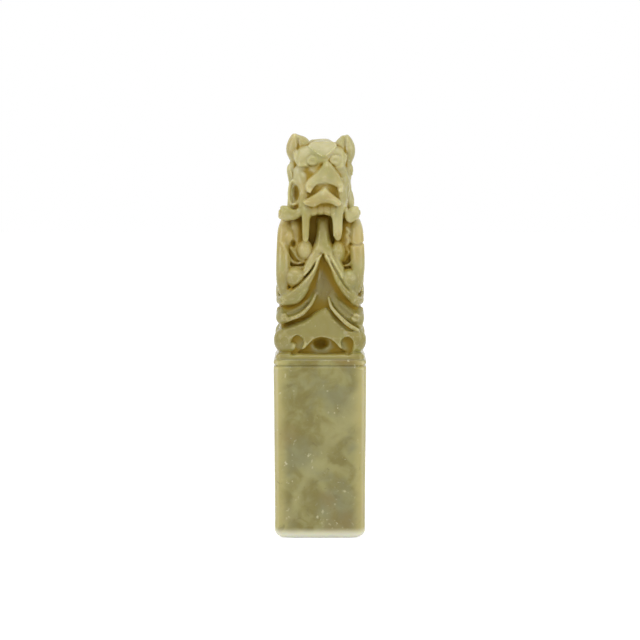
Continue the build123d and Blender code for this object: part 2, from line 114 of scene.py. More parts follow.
# Light: how brightly the world lights the stone, what lifts the floor to white where the camera sees it, and
# the floor and the softboxes, with places and sizes in heights of the object and power in watts
MILLIMETRE = 0.001
WORLD_LIGHT = 0.54
FLOOR_LIFT = 0.62
FLOOR_HALF = 12
SOFTBOXES = [
    ("left_softbox", (-2.4, -1.6, 2.2), 1.6, 0.16),
    ("right_softbox", (2.4, -1.4, 1.8), 1.6, 0.12),
    ("top_softbox", (0.0, -0.6, 3.6), 1.8, 0.14),
]

# The camera of the photograph: its distance, its angle above the stone, the height that it sees there and the
# height that it looks at, in the same millimetres
VIEW_DISTANCE = 450.0
VIEW_DEGREES = 6.0
VIEW_HEIGHT = 139.4
VIEW_MIDDLE = 46.45
SENSOR_WIDTH = 36.0

# The four faces: which axis runs across and which runs out, each with its sign
FACES = {
    "front": ((0, 1), (1, -1)),
    "right": ((1, 1), (0, 1)),
    "back": ((0, -1), (1, 1)),
    "left": ((1, -1), (0, -1)),
}
SIDES = (("left", -1), ("right", 1))

Shape = namedtuple("Shape", "low high distance")

block_low, block_high = [Vector(corner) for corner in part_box("seal_block")]
UNIT = (block_high.x - block_low.x) / BLOCK_SIDE


# Curves and distances

def smooth_line(points, closed=False):
    """Points along a smooth curve through the given ones. A point given twice makes a corner."""
    points = [np.array(point, dtype=float) for point in points]
    count = len(points)
    line = []
    for number in range(count if closed else count - 1):
        places = range(number - 1, number + 3)
        before, start, end, after = [
            points[place % count if closed else min(max(place, 0), count - 1)] for place in places
        ]
        if np.allclose(start, end):
            continue
        for step in range(CURVE_STEPS):
            share = step / CURVE_STEPS
            line.append(0.5 * (
                2 * start + (end - before) * share + (2 * before - 5 * start + 4 * end - after) * share ** 2
                + (3 * start - before - 3 * end + after) * share ** 3
            ))
    if not closed:
        line.append(points[-1])
    return np.array(line)


def mirrored(route, hand):
    """A route on the right side of the stone, turned over for the left side where hand is -1."""
    return [(hand * across, *rest) for across, *rest in route]


def beside(route, shift):
    """The route of a line along a rope, moved across the face."""
    return [(across + shift, rise) for across, out, rise, radius in route]


def stretch(place, start, end):
    """How far along a straight stretch each place lies, from 0 to 1, and its squared distance from it."""
    run = end - start
    share = sum((axis - low) * step for axis, low, step in zip(place, start, run))
    share = np.clip(share / (sum(step ** 2 for step in run) + TINY), 0, 1)
    return share, sum((axis - low - share * step) ** 2 for axis, low, step in zip(place, start, run))


def outline_distance(loop, across, rise):
    """Signed distance to a closed outline, negative inside."""
    nearest = np.float32(FAR ** 2)
    inside = False
    for start, end in zip(loop, np.roll(loop, -1, axis=0)):
        nearest = np.minimum(nearest, stretch((across, rise), start, end)[1])
        run, climb = end - start
        if abs(climb) > TINY:
            crossing = run * (rise - start[1]) / climb + start[0]
            inside = inside ^ (((start[1] > rise) != (end[1] > rise)) & (across < crossing))
    return np.sqrt(nearest) * np.where(inside, -1, 1)


def smooth_min(one, other, blend):
    """The smaller of two distances, blended where they are nearly equal."""
    near = np.maximum(blend - np.abs(one - other), 0) / blend
    return np.minimum(one, other) - near * near * blend / 4


def smooth_max(one, other, blend):
    """The larger of two distances, blended where they are nearly equal."""
    return -smooth_min(-one, -other, blend)


# Shapes that are added to the stone or cut from it, on its front face where no other is named

def face_box(face, across, out, rise):
    """The box round spans across, out from and up a face, on the grid's own axes."""
    low, high = [0, 0, rise[0]], [0, 0, rise[1]]
    for (axis, sign), span in zip(FACES[face], (across, out)):
        low[axis], high[axis] = sorted(sign * end for end in span)
    return low, high


def face_axes(face, place):
    """Grid coordinates seen from a face: across, out and rise."""
    (across_axis, across_sign), (out_axis, out_sign) = FACES[face]
    return across_sign * place[across_axis], out_sign * place[out_axis], place[2]


def relief(
    outline, back, foot, top=None, back_top=None, lean=0.0, crown=0.0, crown_width=1.0, edge=EDGE_BLEND,
    face="front",
):
    """A raised form with an outline on a face. It stands out to foot at its foot and to top at its top, and
    lean times further for each millimetre across. Its back goes from back to back_top, and its crown swells
    inward from its edge."""
    top = foot if top is None else top
    back_top = back if back_top is None else back_top
    loop = smooth_line(outline, closed=True)
    (left, low_rise), (right, high_rise) = loop.min(axis=0), loop.max(axis=0)
    middle = (left + right) / 2
    furthest = max(foot, top) + crown + abs(lean) * (right - left) / 2
    low, high = face_box(face, (left, right), (min(back, back_top), furthest), (low_rise, high_rise))

    def distance(*place):
        across, out, rise = face_axes(face, place)
        flat = outline_distance(loop, across, rise)
        climb = np.clip((rise - low_rise) / (high_rise - low_rise), 0, 1)
        swell = crown * (1 - np.exp(np.minimum(flat, 0) / crown_width))
        front = foot + (top - foot) * climb + lean * (across - middle) + swell
        behind = back + (back_top - back) * climb
        return smooth_max(smooth_max(flat, out - front, edge), behind - out, edge)

    return Shape(low, high, distance)


def rope(route, face="front"):
    """A tube along a smooth curve through (across, out, rise, radius)."""
    line = smooth_line(route)
    widest = line[:, 3].max()
    spans = [(line[:, column].min() - widest, line[:, column].max() + widest) for column in range(3)]
    low, high = face_box(face, *spans)

    def distance(*place):
        place = face_axes(face, place)
        nearest = np.float32(FAR)
        for start, end in zip(line, line[1:]):
            share, gap = stretch(place, start[:3], end[:3])
            nearest = np.minimum(nearest, np.sqrt(gap) - start[3] - share * (end[3] - start[3]))
        return nearest

    return Shape(low, high, distance)


def ball(centre, radii, face="front"):
    """An ellipsoid with its centre and its radii across, out from and up a face."""
    spans = [(middle - radius, middle + radius) for middle, radius in zip(centre, radii)]
    low, high = face_box(face, *spans)

    def distance(*place):
        offsets = [axis - middle for axis, middle in zip(face_axes(face, place), centre)]
        reach = np.sqrt(sum((offset / radius) ** 2 for offset, radius in zip(offsets, radii)))
        slope = np.sqrt(sum((offset / radius ** 2) ** 2 for offset, radius in zip(offsets, radii)))
        return reach * (reach - 1) / (slope + 1000 * TINY)

    return Shape(low, high, distance)


def slab(centre, half, corner):
    """A box with rounded edges, given on the front face."""
    spans = [(middle - size, middle + size) for middle, size in zip(centre, half)]
    low, high = face_box("front", *spans)

    def distance(*place):
        axes = face_axes("front", place)
        gaps = [np.abs(axis - middle) - size + corner for axis, middle, size in zip(axes, centre, half)]
        beyond = np.sqrt(sum(np.maximum(gap, 0) ** 2 for gap in gaps))
        return beyond + np.minimum(np.maximum(np.maximum(gaps[0], gaps[1]), gaps[2]), 0) - corner

    return Shape(low, high, distance)


class Stone:
    """The stone on its grid: distances to its surface, negative inside."""

    def __init__(self):
        self.lows = (-STONE_HALF, -STONE_HALF, STONE_FOOT)
        self.highs = (STONE_HALF, STONE_HALF, STONE_TOP)
        margin = 2 * GRID_STEP
        self.axes = [
            np.arange(low - margin, high + margin + GRID_STEP, GRID_STEP, dtype=np.float32)
            for low, high in zip(self.lows, self.highs)
        ]
        self.field = np.full([len(axis) for axis in self.axes], FAR, dtype=np.float32)

    def window(self, low, high, margin):
        """The part of the grid round a box, and its coordinates."""
        part = tuple(
            slice(*np.searchsorted(axis, (start - margin, end + margin)))
            for axis, start, end in zip(self.axes, low, high)
        )
        place = np.meshgrid(*[axis[span] for axis, span in zip(self.axes, part)], indexing="ij", sparse=True)
        return part, place

    def add(self, shape, blend):
        """Adds a shape, with a soft seam as wide as blend."""
        part, place = self.window(shape.low, shape.high, blend + 4 * GRID_STEP)
        self.field[part] = smooth_min(self.field[part], shape.distance(*place), blend)

    def cut(self, shape, blend):
        """Cuts a shape away, with edges as soft as blend."""
        part, place = self.window(shape.low, shape.high, blend + 4 * GRID_STEP)
        self.field[part] = smooth_max(self.field[part], -shape.distance(*place), blend)

    def add_balls(self, *balls):
        """Adds ellipsoids at the front, each given as its centre, its radii and its blend."""
        for centre, radii, blend in balls:
            self.add(ball(centre, radii), blend)

    def line(self, route, width, depth, out_from, face="front"):
        """Sinks a line into the surface of a face where it stands further out than out_from. A line with a
        negative depth is raised. It fades at its ends."""
        line = smooth_line(route)
        (left, low_rise), (right, high_rise) = line.min(axis=0), line.max(axis=0)
        low, high = face_box(face, (left, right), (out_from, STONE_HALF), (low_rise, high_rise))
        part, place = self.window(low, high, 3 * width)
        across, out, rise = face_axes(face, place)
        mark = np.float32(0)
        for number, (start, end) in enumerate(zip(line, line[1:])):
            share, gap = stretch((across, rise), start, end)
            along = (number + share) / (len(line) - 1)
            fade = np.clip(np.minimum(along, 1 - along) * LINE_END_SLOPE + LINE_END_DEPTH, 0, 1)
            mark = np.maximum(mark, fade * np.exp(-gap / width ** 2))
        self.field[part] += depth * mark * np.clip((out - out_from) / MARK_RISE, 0, 1)

    def lines(self, width, depth, out_from, *routes, face="front"):
        """Sinks lines that differ in their routes alone."""
        for route in routes:
            self.line(route, width, depth, out_from, face)

    def scales(self, outline, size, depth, out_from, face):
        """Cuts rows of overlapping scales into the surface within an outline."""
        loop = smooth_line(outline, closed=True)
        (left, low_rise), (right, high_rise) = loop.min(axis=0), loop.max(axis=0)
        low, high = face_box(face, (left, right), (out_from, STONE_HALF), (low_rise, high_rise))
        part, place = self.window(low, high, size)
        across, out, rise = face_axes(face, place)
        inside = np.clip(-outline_distance(loop, across, rise) / size, 0, 1)
        row_gap = SCALE_ROW_GAP * size
        height = np.float32(0)
        for step in (0, 1, 2):
            row = np.floor(rise / row_gap) + step
            column = across / size + 0.5 * (row % 2)
            aside = (column - np.floor(column) - 0.5) * size
            below = row * row_gap - rise
            reach = np.hypot(aside, np.maximum(below, 0))
            height = np.where(reach < SCALE_REACH * size, (below + row_gap) / size, height)
        self.field[part] += depth * (0.5 - height) * inside * np.clip((out - out_from) / MARK_RISE, 0, 1)

    def trim(self):
        """Keeps the stone inside the bar that it was cut from."""
        place = np.meshgrid(*self.axes, indexing="ij", sparse=True)
        for axis, low, high in zip(place, self.lows, self.highs):
            outside = np.maximum(low - axis, axis - high)
            self.field = smooth_max(self.field, outside, STONE_EDGE).astype(np.float32)


# Regions of the carving

def core(stone):
    """The sloping shoulder and the neck on the block, the trunk, and the masses of the head."""
    stone.add(slab((0, 0, -0.1), (9.55, 9.55, 1.35), 1.3), 0.3)
    stone.add(slab((0, 0, 0.9), (8.5, 8.5, 1.7), 0.5), 0.4)
    stone.add(slab((0, -1.0, 13.5), (7.6, 6.8, 12.3), 2.6), 0.6)
    stone.add(slab((0, -0.9, 24.0), (6.4, 5.6, 6.5), 2.6), 1.0)
    stone.add(ball((0.1, -0.6, 35.4), (5.9, 6.6, 10.6)), 1.2)
    stone.add(slab((0.1, 2.4, 36.0), (5.9, 3.8, 5.2), 1.8), 0.8)
    stone.add(ball((0.7, 5.2, 36.0), (4.4, 3.4, 4.8)), 1.0)
    stone.add(slab((0.6, 4.2, 30.4), (3.8, 3.7, 3.4), 1.0), 0.7)


def clouds(stone):
    """An apron of cloud on each face, cut by an arch and two volutes, and a curl at each corner."""
    apron = [
        (1.2, 10.6), (2.2, 9.9), (3.2, 8.5), (5.2, 7.0), (7.7, 5.5), (9.0, 4.8), (9.4, 3.4), (8.6, 2.0),
        (7.0, 1.6), (-6.6, 1.6), (-8.6, 2.0), (-9.4, 3.6), (-9.2, 5.4), (-7.8, 6.1), (-6.1, 7.1), (-2.6, 8.4),
        (-1.3, 9.4), (0.0, 10.1),
    ]
    arch = [
        (-4.3, 0.9), (-3.4, 1.9), (-2.4, 3.0), (-1.4, 3.9), (0.2, 4.4), (2.0, 4.1), (3.2, 3.3), (4.3, 2.0),
        (5.0, 0.9),
    ]
    left_hollow = [
        (-6.2, 3.0), (-5.8, 4.3), (-4.8, 4.8), (-3.8, 4.2), (-3.5, 3.1), (-4.0, 1.9), (-5.0, 0.8),
        (-6.2, 0.8), (-5.4, 1.9),
    ]
    right_hollow = [
        (4.5, 3.2), (5.0, 4.2), (6.1, 4.5), (7.0, 3.8), (7.1, 2.4), (6.6, 1.2), (6.4, 0.8), (5.6, 0.8),
        (4.9, 1.8),
    ]
    for across in (-1, 1):
        for out in (-1, 1):
            stone.add(ball((across * 7.6, out * 7.6, 3.7), (2.35, 2.35, 2.6)), 0.6)
    for face in FACES:
        stone.add(relief(apron, 5.0, 9.3, 7.4, crown=0.5, crown_width=1.8, edge=1.2, face=face), 0.5)
    for face in FACES:
        stone.cut(relief(arch, 7.4, 12.0, edge=0.2, face=face), 0.5)
        stone.cut(ball((0.2, 8.0, 2.9), (1.6, 3.0, 1.15), face), 0.8)
        stone.cut(relief(left_hollow, 8.3, 12.0, edge=0.2, face=face), 0.55)
        stone.cut(relief(right_hollow, 8.4, 12.0, edge=0.2, face=face), 0.55)
        stone.add(ball((-5.9, 8.6, 2.6), (0.75, 0.9, 0.75), face), 0.4)
        stone.lines(
            0.35, -0.16, 7.0,
            [(-7.9, 6.0), (-6.2, 6.3), (-3.4, 7.2), (-1.6, 8.4)],
            [(2.6, 8.2), (4.4, 6.6), (6.8, 5.2)],
            face=face,
        )


def drapes(stone):
    """The lower layer of drapery, between the beard and the clouds, and the fold down the chest."""
    left = [
        (-0.3, 14.2), (-1.1, 12.4), (-2.7, 10.4), (-4.6, 8.8), (-7.6, 7.4), (-9.0, 7.6), (-9.1, 9.6),
        (-7.8, 11.4), (-5.4, 12.0), (-3.4, 13.2), (-1.6, 15.4),
    ]
    right = [
        (1.8, 13.2), (2.4, 11.2), (3.9, 9.3), (5.6, 7.8), (8.4, 6.2), (9.3, 7.6), (8.8, 10.4), (6.4, 12.0),
        (4.4, 13.6), (2.9, 15.2),
    ]
    for outline in (left, right):
        stone.add(relief(outline, 3.6, 8.9, 5.0, crown=0.5, crown_width=1.4, edge=1.2), 0.6)
    right_hem = [
        (1.9, 6.2, 12.6, 0.26), (2.5, 7.2, 10.7, 0.34), (4.1, 8.4, 8.9, 0.4), (6.0, 9.1, 7.2, 0.45),
        (8.0, 9.1, 6.0, 0.4),
    ]
    left_hem = [
        (-0.9, 5.9, 13.6, 0.35), (-1.9, 6.9, 11.6, 0.45), (-4.0, 8.2, 9.4, 0.5), (-6.8, 8.9, 8.2, 0.4),
    ]
    chest_fold = [(0.0, 5.5, 21.2, 0.4), (-0.1, 5.6, 17.5, 0.4), (-0.4, 5.4, 13.6, 0.3)]
    for route, blend in ((right_hem, 0.3), (left_hem, 0.4), (chest_fold, 0.7)):
        stone.add(rope(route), blend)
    stone.lines(
        0.3, 0.22, 6.0,
        [(-2.2, 12.0), (-3.6, 10.6), (-6.2, 9.4), (-8.4, 8.9)],
        [(-2.6, 13.6), (-4.4, 11.8), (-7.4, 10.5)],
        [(4.0, 11.6), (5.6, 9.9), (8.4, 8.3)],
        [(3.4, 13.4), (5.2, 11.8), (8.0, 10.0)],
    )


def beard(stone):
    """The beard: a root out of the mouth, two strands that part below it, and the leaf of each lock."""
    left_leaf = [
        (0.2, 21.8), (-0.5, 19.3), (-1.3, 17.2), (-2.1, 15.6), (-2.6, 14.3), (-3.8, 12.5), (-5.3, 11.5),
        (-8.2, 11.4), (-8.5, 12.6), (-7.4, 14.2), (-5.0, 15.9), (-3.4, 17.4), (-1.9, 19.3), (-1.0, 21.4),
    ]
    right_leaf = [
        (0.9, 21.8), (2.2, 19.2), (3.0, 16.8), (3.9, 15.2), (5.0, 13.6), (6.8, 11.7), (8.2, 11.0),
        (8.5, 12.4), (7.2, 14.6), (5.6, 16.8), (4.3, 19.2), (3.0, 21.6),
    ]
    for leaf in (left_leaf, right_leaf):
        stone.add(relief(leaf, 4.0, 9.2, 8.0, crown=0.5, crown_width=0.9, edge=1.0), 0.4)
    stone.add_balls(((-5.3, 6.7, 17.1), (2.5, 2.7, 2.3), 0.3), ((6.2, 6.7, 16.5), (2.1, 2.7, 2.5), 0.3))
    root = [
        (-0.6, 29.8), (-0.7, 27.4), (-1.0, 25.1), (-1.8, 23.2), (-2.7, 21.2), (-3.5, 19.4), (-3.9, 17.6),
        (-3.0, 17.4), (-1.6, 19.0), (-0.4, 21.0), (0.5, 22.3), (1.3, 21.2), (2.6, 19.0), (4.2, 16.9),
        (5.2, 16.9), (5.2, 19.0), (4.4, 20.8), (3.3, 22.8), (2.3, 25.0), (1.9, 27.4), (1.7, 29.8),
    ]
    stone.add(relief(root, 3.0, 9.1, 4.6, crown=0.6, crown_width=0.9, edge=1.0), 0.3)
    stone.lines(
        0.24, 0.42, 6.5,
        [(-0.7, 20.9), (-1.8, 18.8), (-3.6, 16.9), (-4.8, 15.7), (-6.6, 14.2)],
        [(2.2, 20.9), (3.2, 18.9), (4.6, 16.6), (5.4, 15.4), (6.8, 13.9)],
    )
    for route, depth in (
        ([(-1.6, 21.8), (-2.4, 20.0), (-3.4, 18.2)], 0.14),
        ([(-0.9, 22.6), (-1.6, 20.8), (-2.9, 18.4)], 0.12),
        ([(1.6, 22.2), (2.8, 20.0), (4.3, 17.6)], 0.28),
        ([(2.6, 22.6), (3.5, 20.6), (4.7, 18.6)], 0.22),
        ([(-1.5, 18.0), (-3.1, 15.4), (-5.6, 13.4)], 0.12),
        ([(3.4, 17.8), (5.0, 15.0), (7.0, 12.8)], 0.12),
    ):
        stone.line(route, 0.2, depth, 6.5)
    stone.lines(
        0.22, -0.16, 5.0, [(-0.1, 27.2), (-0.2, 25.4), (-0.4, 23.4)], [(1.2, 27.2), (1.4, 25.4), (1.8, 23.6)],
    )
    stone.line([(0.2, 21.6), (0.8, 22.5), (1.5, 21.8)], 0.25, -0.2, 6.0)


def jaw(stone):
    """The open mouth with its teeth and tusks, and the lobes of the jaw beside the beard."""
    mouth = [
        (-2.3, 23.8), (-2.4, 28.6), (-2.3, 29.6), (-1.5, 30.3), (0.4, 30.6), (2.0, 30.3), (2.8, 29.5),
        (2.9, 28.2), (2.8, 23.8),
    ]
    left_tusk = [
        (-3.8, 32.4), (-3.8, 28.5), (-3.7, 25.4), (-3.2, 24.7), (-2.7, 24.8), (-2.4, 25.8), (-2.3, 28.0),
        (-2.3, 32.0),
    ]
    right_tusk = [
        (2.7, 31.6), (2.8, 28.0), (2.8, 26.6), (3.1, 25.6), (3.7, 25.0), (4.4, 25.4), (4.7, 26.8),
        (4.8, 29.0), (4.8, 32.4),
    ]
    gums = [
        (-3.8, 33.2), (-3.4, 31.0), (-2.2, 30.3), (-0.8, 30.7), (0.6, 30.9), (1.8, 30.7), (2.9, 30.2),
        (4.7, 30.9), (4.9, 33.2),
    ]
    stone.cut(relief(mouth, 3.4, 12.0, edge=0.1), 0.35)
    for tusk, top in ((left_tusk, 8.5), (right_tusk, 8.4)):
        stone.add(relief(tusk, 3.0, 7.9, top, crown=0.35, crown_width=0.7, edge=0.6), 0.35)
    stone.add(relief(gums, 4.0, 8.4, 8.1, crown=0.2, edge=0.6), 0.3)
    for across in (-1.9, -0.5, 0.75, 2.2, 3.4):
        stone.line([(across, 30.1), (across, 31.3), (across, 32.6)], 0.2, 0.15, 6.5)
    stone.line([(2.9, 25.9), (3.4, 27.0), (3.9, 26.0)], 0.2, -0.14, 6.0)
    stone.add_balls(((-3.2, 5.9, 22.9), (1.6, 2.0, 2.2), 0.4), ((3.9, 5.9, 22.4), (1.5, 2.0, 2.4), 0.4))


def muzzle(stone):
    """The nose, the upper lip under it and the cheeks."""
    stone.add_balls(
        ((-3.7, 5.0, 37.0), (1.8, 2.2, 2.8), 0.7), ((4.9, 4.7, 37.0), (1.6, 2.2, 2.8), 0.7),
        ((-0.9, 4.4, 39.4), (1.8, 2.0, 2.4), 1.1), ((3.6, 4.6, 39.6), (1.4, 2.0, 2.4), 1.1),
        ((-3.3, 5.8, 34.6), (1.7, 2.6, 3.4), 0.6), ((4.5, 5.6, 34.6), (1.5, 2.6, 3.4), 0.6),
    )
    lip = [
        (0.8, 36.2), (1.3, 36.2), (2.6, 35.0), (4.0, 33.9), (4.6, 33.2), (4.2, 32.5), (3.3, 32.5),
        (2.3, 33.0), (0.7, 33.1), (-0.4, 32.7), (-1.3, 32.3), (-2.8, 32.6), (-3.6, 33.3), (-2.6, 34.1),
        (-0.8, 35.2),
    ]
    stone.add(relief(lip, 4.0, 9.6, 9.1, crown=0.4, crown_width=0.7), 0.3)
    stone.line([(-3.0, 33.6), (-1.4, 33.4), (0.6, 33.9), (2.4, 33.8), (4.0, 33.1)], 0.25, -0.12, 6.0)
    stone.line([(1.1, 36.2), (0.8, 35.0), (0.7, 33.8)], 0.5, -0.2, 6.0)
    nose = [
        (1.1, 41.6), (2.0, 41.5), (3.0, 40.4), (3.7, 39.5), (4.6, 38.0), (5.0, 36.7), (4.8, 35.5),
        (4.8, 35.5), (4.1, 35.3), (3.5, 36.4), (2.5, 37.0), (0.8, 37.3), (-0.8, 36.9), (-1.5, 36.1),
        (-2.0, 35.2), (-2.0, 35.2), (-2.9, 35.7), (-3.0, 37.2), (-2.1, 38.4), (-1.2, 39.1), (0.1, 40.3),
    ]
    stone.add(relief(nose, 3.0, 9.6, 7.2, crown=0.6, crown_width=0.8), 0.35)
    stone.line([(1.6, 41.6), (1.3, 39.8), (0.9, 38.0)], 0.9, -0.3, 6.0)
    stone.lines(
        0.25, 0.16, 6.0, [(-2.5, 37.0), (-2.1, 36.4), (-1.6, 36.6)], [(4.5, 36.9), (4.1, 36.3), (3.6, 36.6)],
    )


def whiskers(stone):
    """A curl beside each corner of the mouth, and the loop on the left cheek."""
    left = [
        (-3.3, 34.0), (-3.8, 33.2), (-4.4, 32.3), (-5.1, 31.7), (-6.0, 31.8), (-7.0, 32.3), (-8.2, 32.4),
        (-8.8, 31.4), (-8.9, 29.8), (-7.8, 29.4), (-5.6, 29.4), (-4.2, 30.1), (-3.4, 31.4), (-3.0, 32.8),
    ]
    right = [
        (4.7, 38.4), (5.0, 35.4), (5.4, 33.0), (6.1, 31.6), (6.9, 31.3), (7.4, 32.0), (8.0, 32.2),
        (8.3, 31.2), (7.8, 29.7), (6.6, 28.8), (5.5, 29.5), (4.9, 32.0), (4.5, 35.0),
    ]
    stone.add(relief(left, 4.8, 7.2, 7.8, lean=0.28, crown=0.4, edge=0.9), 0.35)
    stone.add(relief(right, 4.8, 7.3, 7.2, lean=-0.25, crown=0.35, edge=0.8), 0.35)
    stone.line([(-3.7, 33.0), (-4.3, 31.6), (-5.3, 30.8), (-6.6, 30.8), (-8.2, 31.2)], 0.25, 0.14, 4.5)
    curl_across, curl_rise = -6.1, 30.8
    spiral = [
        (curl_across + (1.1 - 0.12 * turn) * math.cos(turn), curl_rise + (1.1 - 0.12 * turn) * math.sin(turn))
        for turn in np.linspace(0, 7.5, 14)
    ]
    for face, hand in SIDES:
        stone.add(ball((hand * curl_across, 7.2, curl_rise), (1.5, 1.5, 1.5), face), 0.5)
        stone.line(mirrored(spiral, hand), 0.17, 0.22, 5.0, face)
    ring = [
        (-6.6, 5.0, 35.2), (-6.3, 5.1, 37.0), (-5.6, 5.7, 37.7), (-4.6, 6.2, 36.8), (-4.1, 6.4, 35.0),
        (-4.7, 6.3, 33.2), (-5.9, 5.7, 32.6), (-6.5, 5.2, 33.6),
    ]
    stone.cut(ball((-5.3, 6.6, 35.0), (1.1, 2.6, 2.0)), 0.4)
    stone.add(rope([(*place, 0.34) for place in ring + ring[:1]]), 0.35)
    stone.cut(rope([(6.1, 6.2, 36.4, 0.3), (6.1, 6.4, 34.6, 0.5), (6.3, 6.2, 32.9, 0.4)]), 0.3)


def brow(stone):
    """The brow shelf with the eyes on it, and the plate and the crown above."""
    shelf = [
        (-4.9, 41.0), (-5.6, 42.6), (-5.2, 44.2), (-2.2, 45.2), (2.2, 45.2), (4.6, 44.6), (5.8, 43.0),
        (5.3, 41.0), (4.6, 40.5), (3.0, 40.8), (1.2, 41.4), (-0.6, 41.0), (-3.0, 40.7), (-4.4, 40.7),
    ]
    stone.add(relief(shelf, 0.5, 7.0, 4.2, crown=0.35, crown_width=1.6, edge=0.9), 0.5)
    stone.cut(ball((-3.4, 8.2, 39.3), (2.3, 2.2, 1.2)), 0.9)
    stone.cut(ball((5.2, 7.8, 39.4), (1.3, 2.3, 1.2)), 0.5)
    stone.add(ball((0.7, -0.8, 43.6), (3.4, 4.0, 2.9)), 0.6)
    plate = [
        (-2.4, 45.3), (-2.4, 45.3), (-1.2, 46.0), (2.6, 46.0), (3.5, 45.4), (3.5, 45.4), (2.1, 44.1),
        (0.75, 42.9), (0.75, 42.9), (-0.8, 44.1),
    ]
    stone.add(relief(plate, 1.0, 6.1, 3.7, edge=0.35), 0.2)
    stone.lines(
        0.2, -0.3, 3.5, [(-2.6, 45.2), (-1.0, 43.9), (0.6, 42.8)], [(3.7, 45.3), (2.4, 44.0), (1.0, 42.8)],
    )
    turns = np.linspace(0, math.tau, 13)
    for across, rise in ((-1.6, 42.0), (3.3, 42.1)):
        stone.add(ball((across, 5.6, rise), (1.1, 0.6, 1.1)), 0.4)
        ring = [(across + 1.3 * math.cos(turn), rise + 1.2 * math.sin(turn)) for turn in turns]
        stone.line(ring, 0.24, 0.26, 4.0)
        stone.line([(across - 0.25, rise), (across, rise - 0.15), (across + 0.25, rise)], 0.3, 0.2, 5.0)


def ears(stone):
    """Two ears, each an outer leaf and an inner lobe with a groove between them."""
    left_outer = [
        (-5.6, 47.9), (-6.5, 46.9), (-7.2, 45.2), (-7.2, 43.6), (-6.5, 42.0), (-5.6, 40.7), (-4.8, 39.7),
        (-4.8, 39.7), (-4.4, 41.4), (-4.3, 43.4), (-4.4, 45.8), (-4.9, 47.5),
    ]
    left_inner = [
        (-5.0, 47.0), (-3.8, 47.2), (-2.6, 46.5), (-2.1, 45.4), (-2.6, 44.5), (-4.0, 43.8), (-5.2, 43.0),
    ]
    right_outer = [
        (5.9, 47.5), (6.8, 46.6), (7.5, 45.0), (7.5, 43.2), (6.8, 41.4), (6.1, 40.2), (5.3, 39.2),
        (5.3, 39.2), (5.0, 41.0), (5.0, 43.4), (5.1, 46.0), (5.4, 47.1),
    ]
    right_inner = [(5.8, 46.7), (4.6, 47.0), (3.6, 46.2), (3.1, 45.2), (3.8, 44.3), (5.8, 43.4)]
    for outer, inner, middle in ((left_outer, left_inner, -4.7), (right_outer, right_inner, 5.3)):
        between = [
            (middle - 0.8, 47.0), (middle - 0.9, 42.6), (middle, 41.2), (middle + 0.8, 43.2),
            (middle + 0.8, 46.6),
        ]
        stone.add(relief(outer, -3.4, 3.8, 2.6, back_top=-0.4, crown=0.8, edge=1.2), 0.4)
        stone.add(relief(inner, -2.6, 3.6, 2.2, back_top=-0.6, crown=0.6, edge=1.2), 0.4)
        stone.add(relief(between, -2.2, 3.7, 2.5, back_top=0.0), 0.4)
        stone.line([(middle, 46.8), (middle, 44.0), (middle - 0.1, 41.0)], 0.2, 0.16, 0.5)
    for face, hand in SIDES:
        stone.line(mirrored([(0.6, 46.6), (0.9, 44.4), (0.4, 41.6)], hand), 0.3, 0.35, 4.5, face)
        stone.line(mirrored([(-0.9, 46.4), (-1.2, 44.4), (-0.9, 42.0)], hand), 0.2, 0.16, 4.5, face)


def arms(stone):
    """The forelegs at the front corners, the chest beside the jaw and the collar folds across it."""
    stone.add_balls(((-5.2, 4.2, 24.6), (2.0, 2.1, 5.0), 0.8), ((5.6, 4.2, 24.6), (2.0, 2.1, 5.0), 0.8))
    left = [
        (-7.2, 2.6, 28.8, 1.3), (-7.5, 4.6, 26.8, 1.6), (-8.0, 5.8, 23.4, 1.3), (-7.9, 6.8, 19.8, 1.5),
        (-8.0, 7.4, 17.0, 1.35), (-7.8, 7.6, 14.2, 1.0),
    ]
    right = [
        (7.6, 3.0, 28.6, 1.2), (7.75, 4.9, 26.9, 1.5), (8.0, 6.0, 22.6, 1.55), (8.1, 7.0, 18.4, 1.4),
        (7.6, 7.4, 14.6, 1.1),
    ]
    for foreleg in (left, right):
        stone.add(rope(foreleg), 0.5)
    stone.add(ball((-6.5, 5.4, 25.6), (1.2, 1.6, 1.7)), 0.5)
    stone.cut(ball((-5.7, 6.9, 24.3), (0.6, 1.6, 0.9)), 0.4)
    stone.line([(9.4, 24.6), (8.0, 24.0), (6.4, 24.3)], 0.3, 0.35, 3.0)
    for fold in (
        [
            (-8.1, 6.9, 24.3, 0.2), (-7.4, 6.9, 22.8, 0.3), (-6.4, 6.4, 21.0, 0.32), (-5.1, 6.2, 20.1, 0.32),
            (-3.4, 6.6, 20.4, 0.2),
        ],
        [(-6.2, 6.1, 23.4, 0.2), (-5.5, 6.1, 22.4, 0.26), (-4.6, 6.2, 21.1, 0.26), (-3.4, 6.6, 20.7, 0.2)],
        [(-6.9, 7.0, 19.6, 0.2), (-6.2, 6.8, 19.1, 0.3), (-4.8, 6.8, 19.2, 0.3), (-3.6, 7.2, 19.3, 0.2)],
        [(8.0, 7.4, 21.8, 0.2), (7.2, 7.0, 20.6, 0.3), (6.2, 6.5, 19.8, 0.3), (5.2, 6.6, 19.6, 0.2)],
        [
            (5.7, 6.0, 27.6, 0.2), (6.1, 6.1, 26.8, 0.24), (5.7, 6.2, 25.9, 0.24), (6.1, 6.3, 25.0, 0.24),
            (5.7, 6.3, 24.0, 0.2),
        ],
        [(5.8, 6.3, 23.2, 0.2), (6.1, 6.3, 22.4, 0.24), (5.6, 6.2, 21.4, 0.24), (5.2, 6.3, 20.6, 0.2)],
    ):
        stone.add(rope(fold), 0.5)


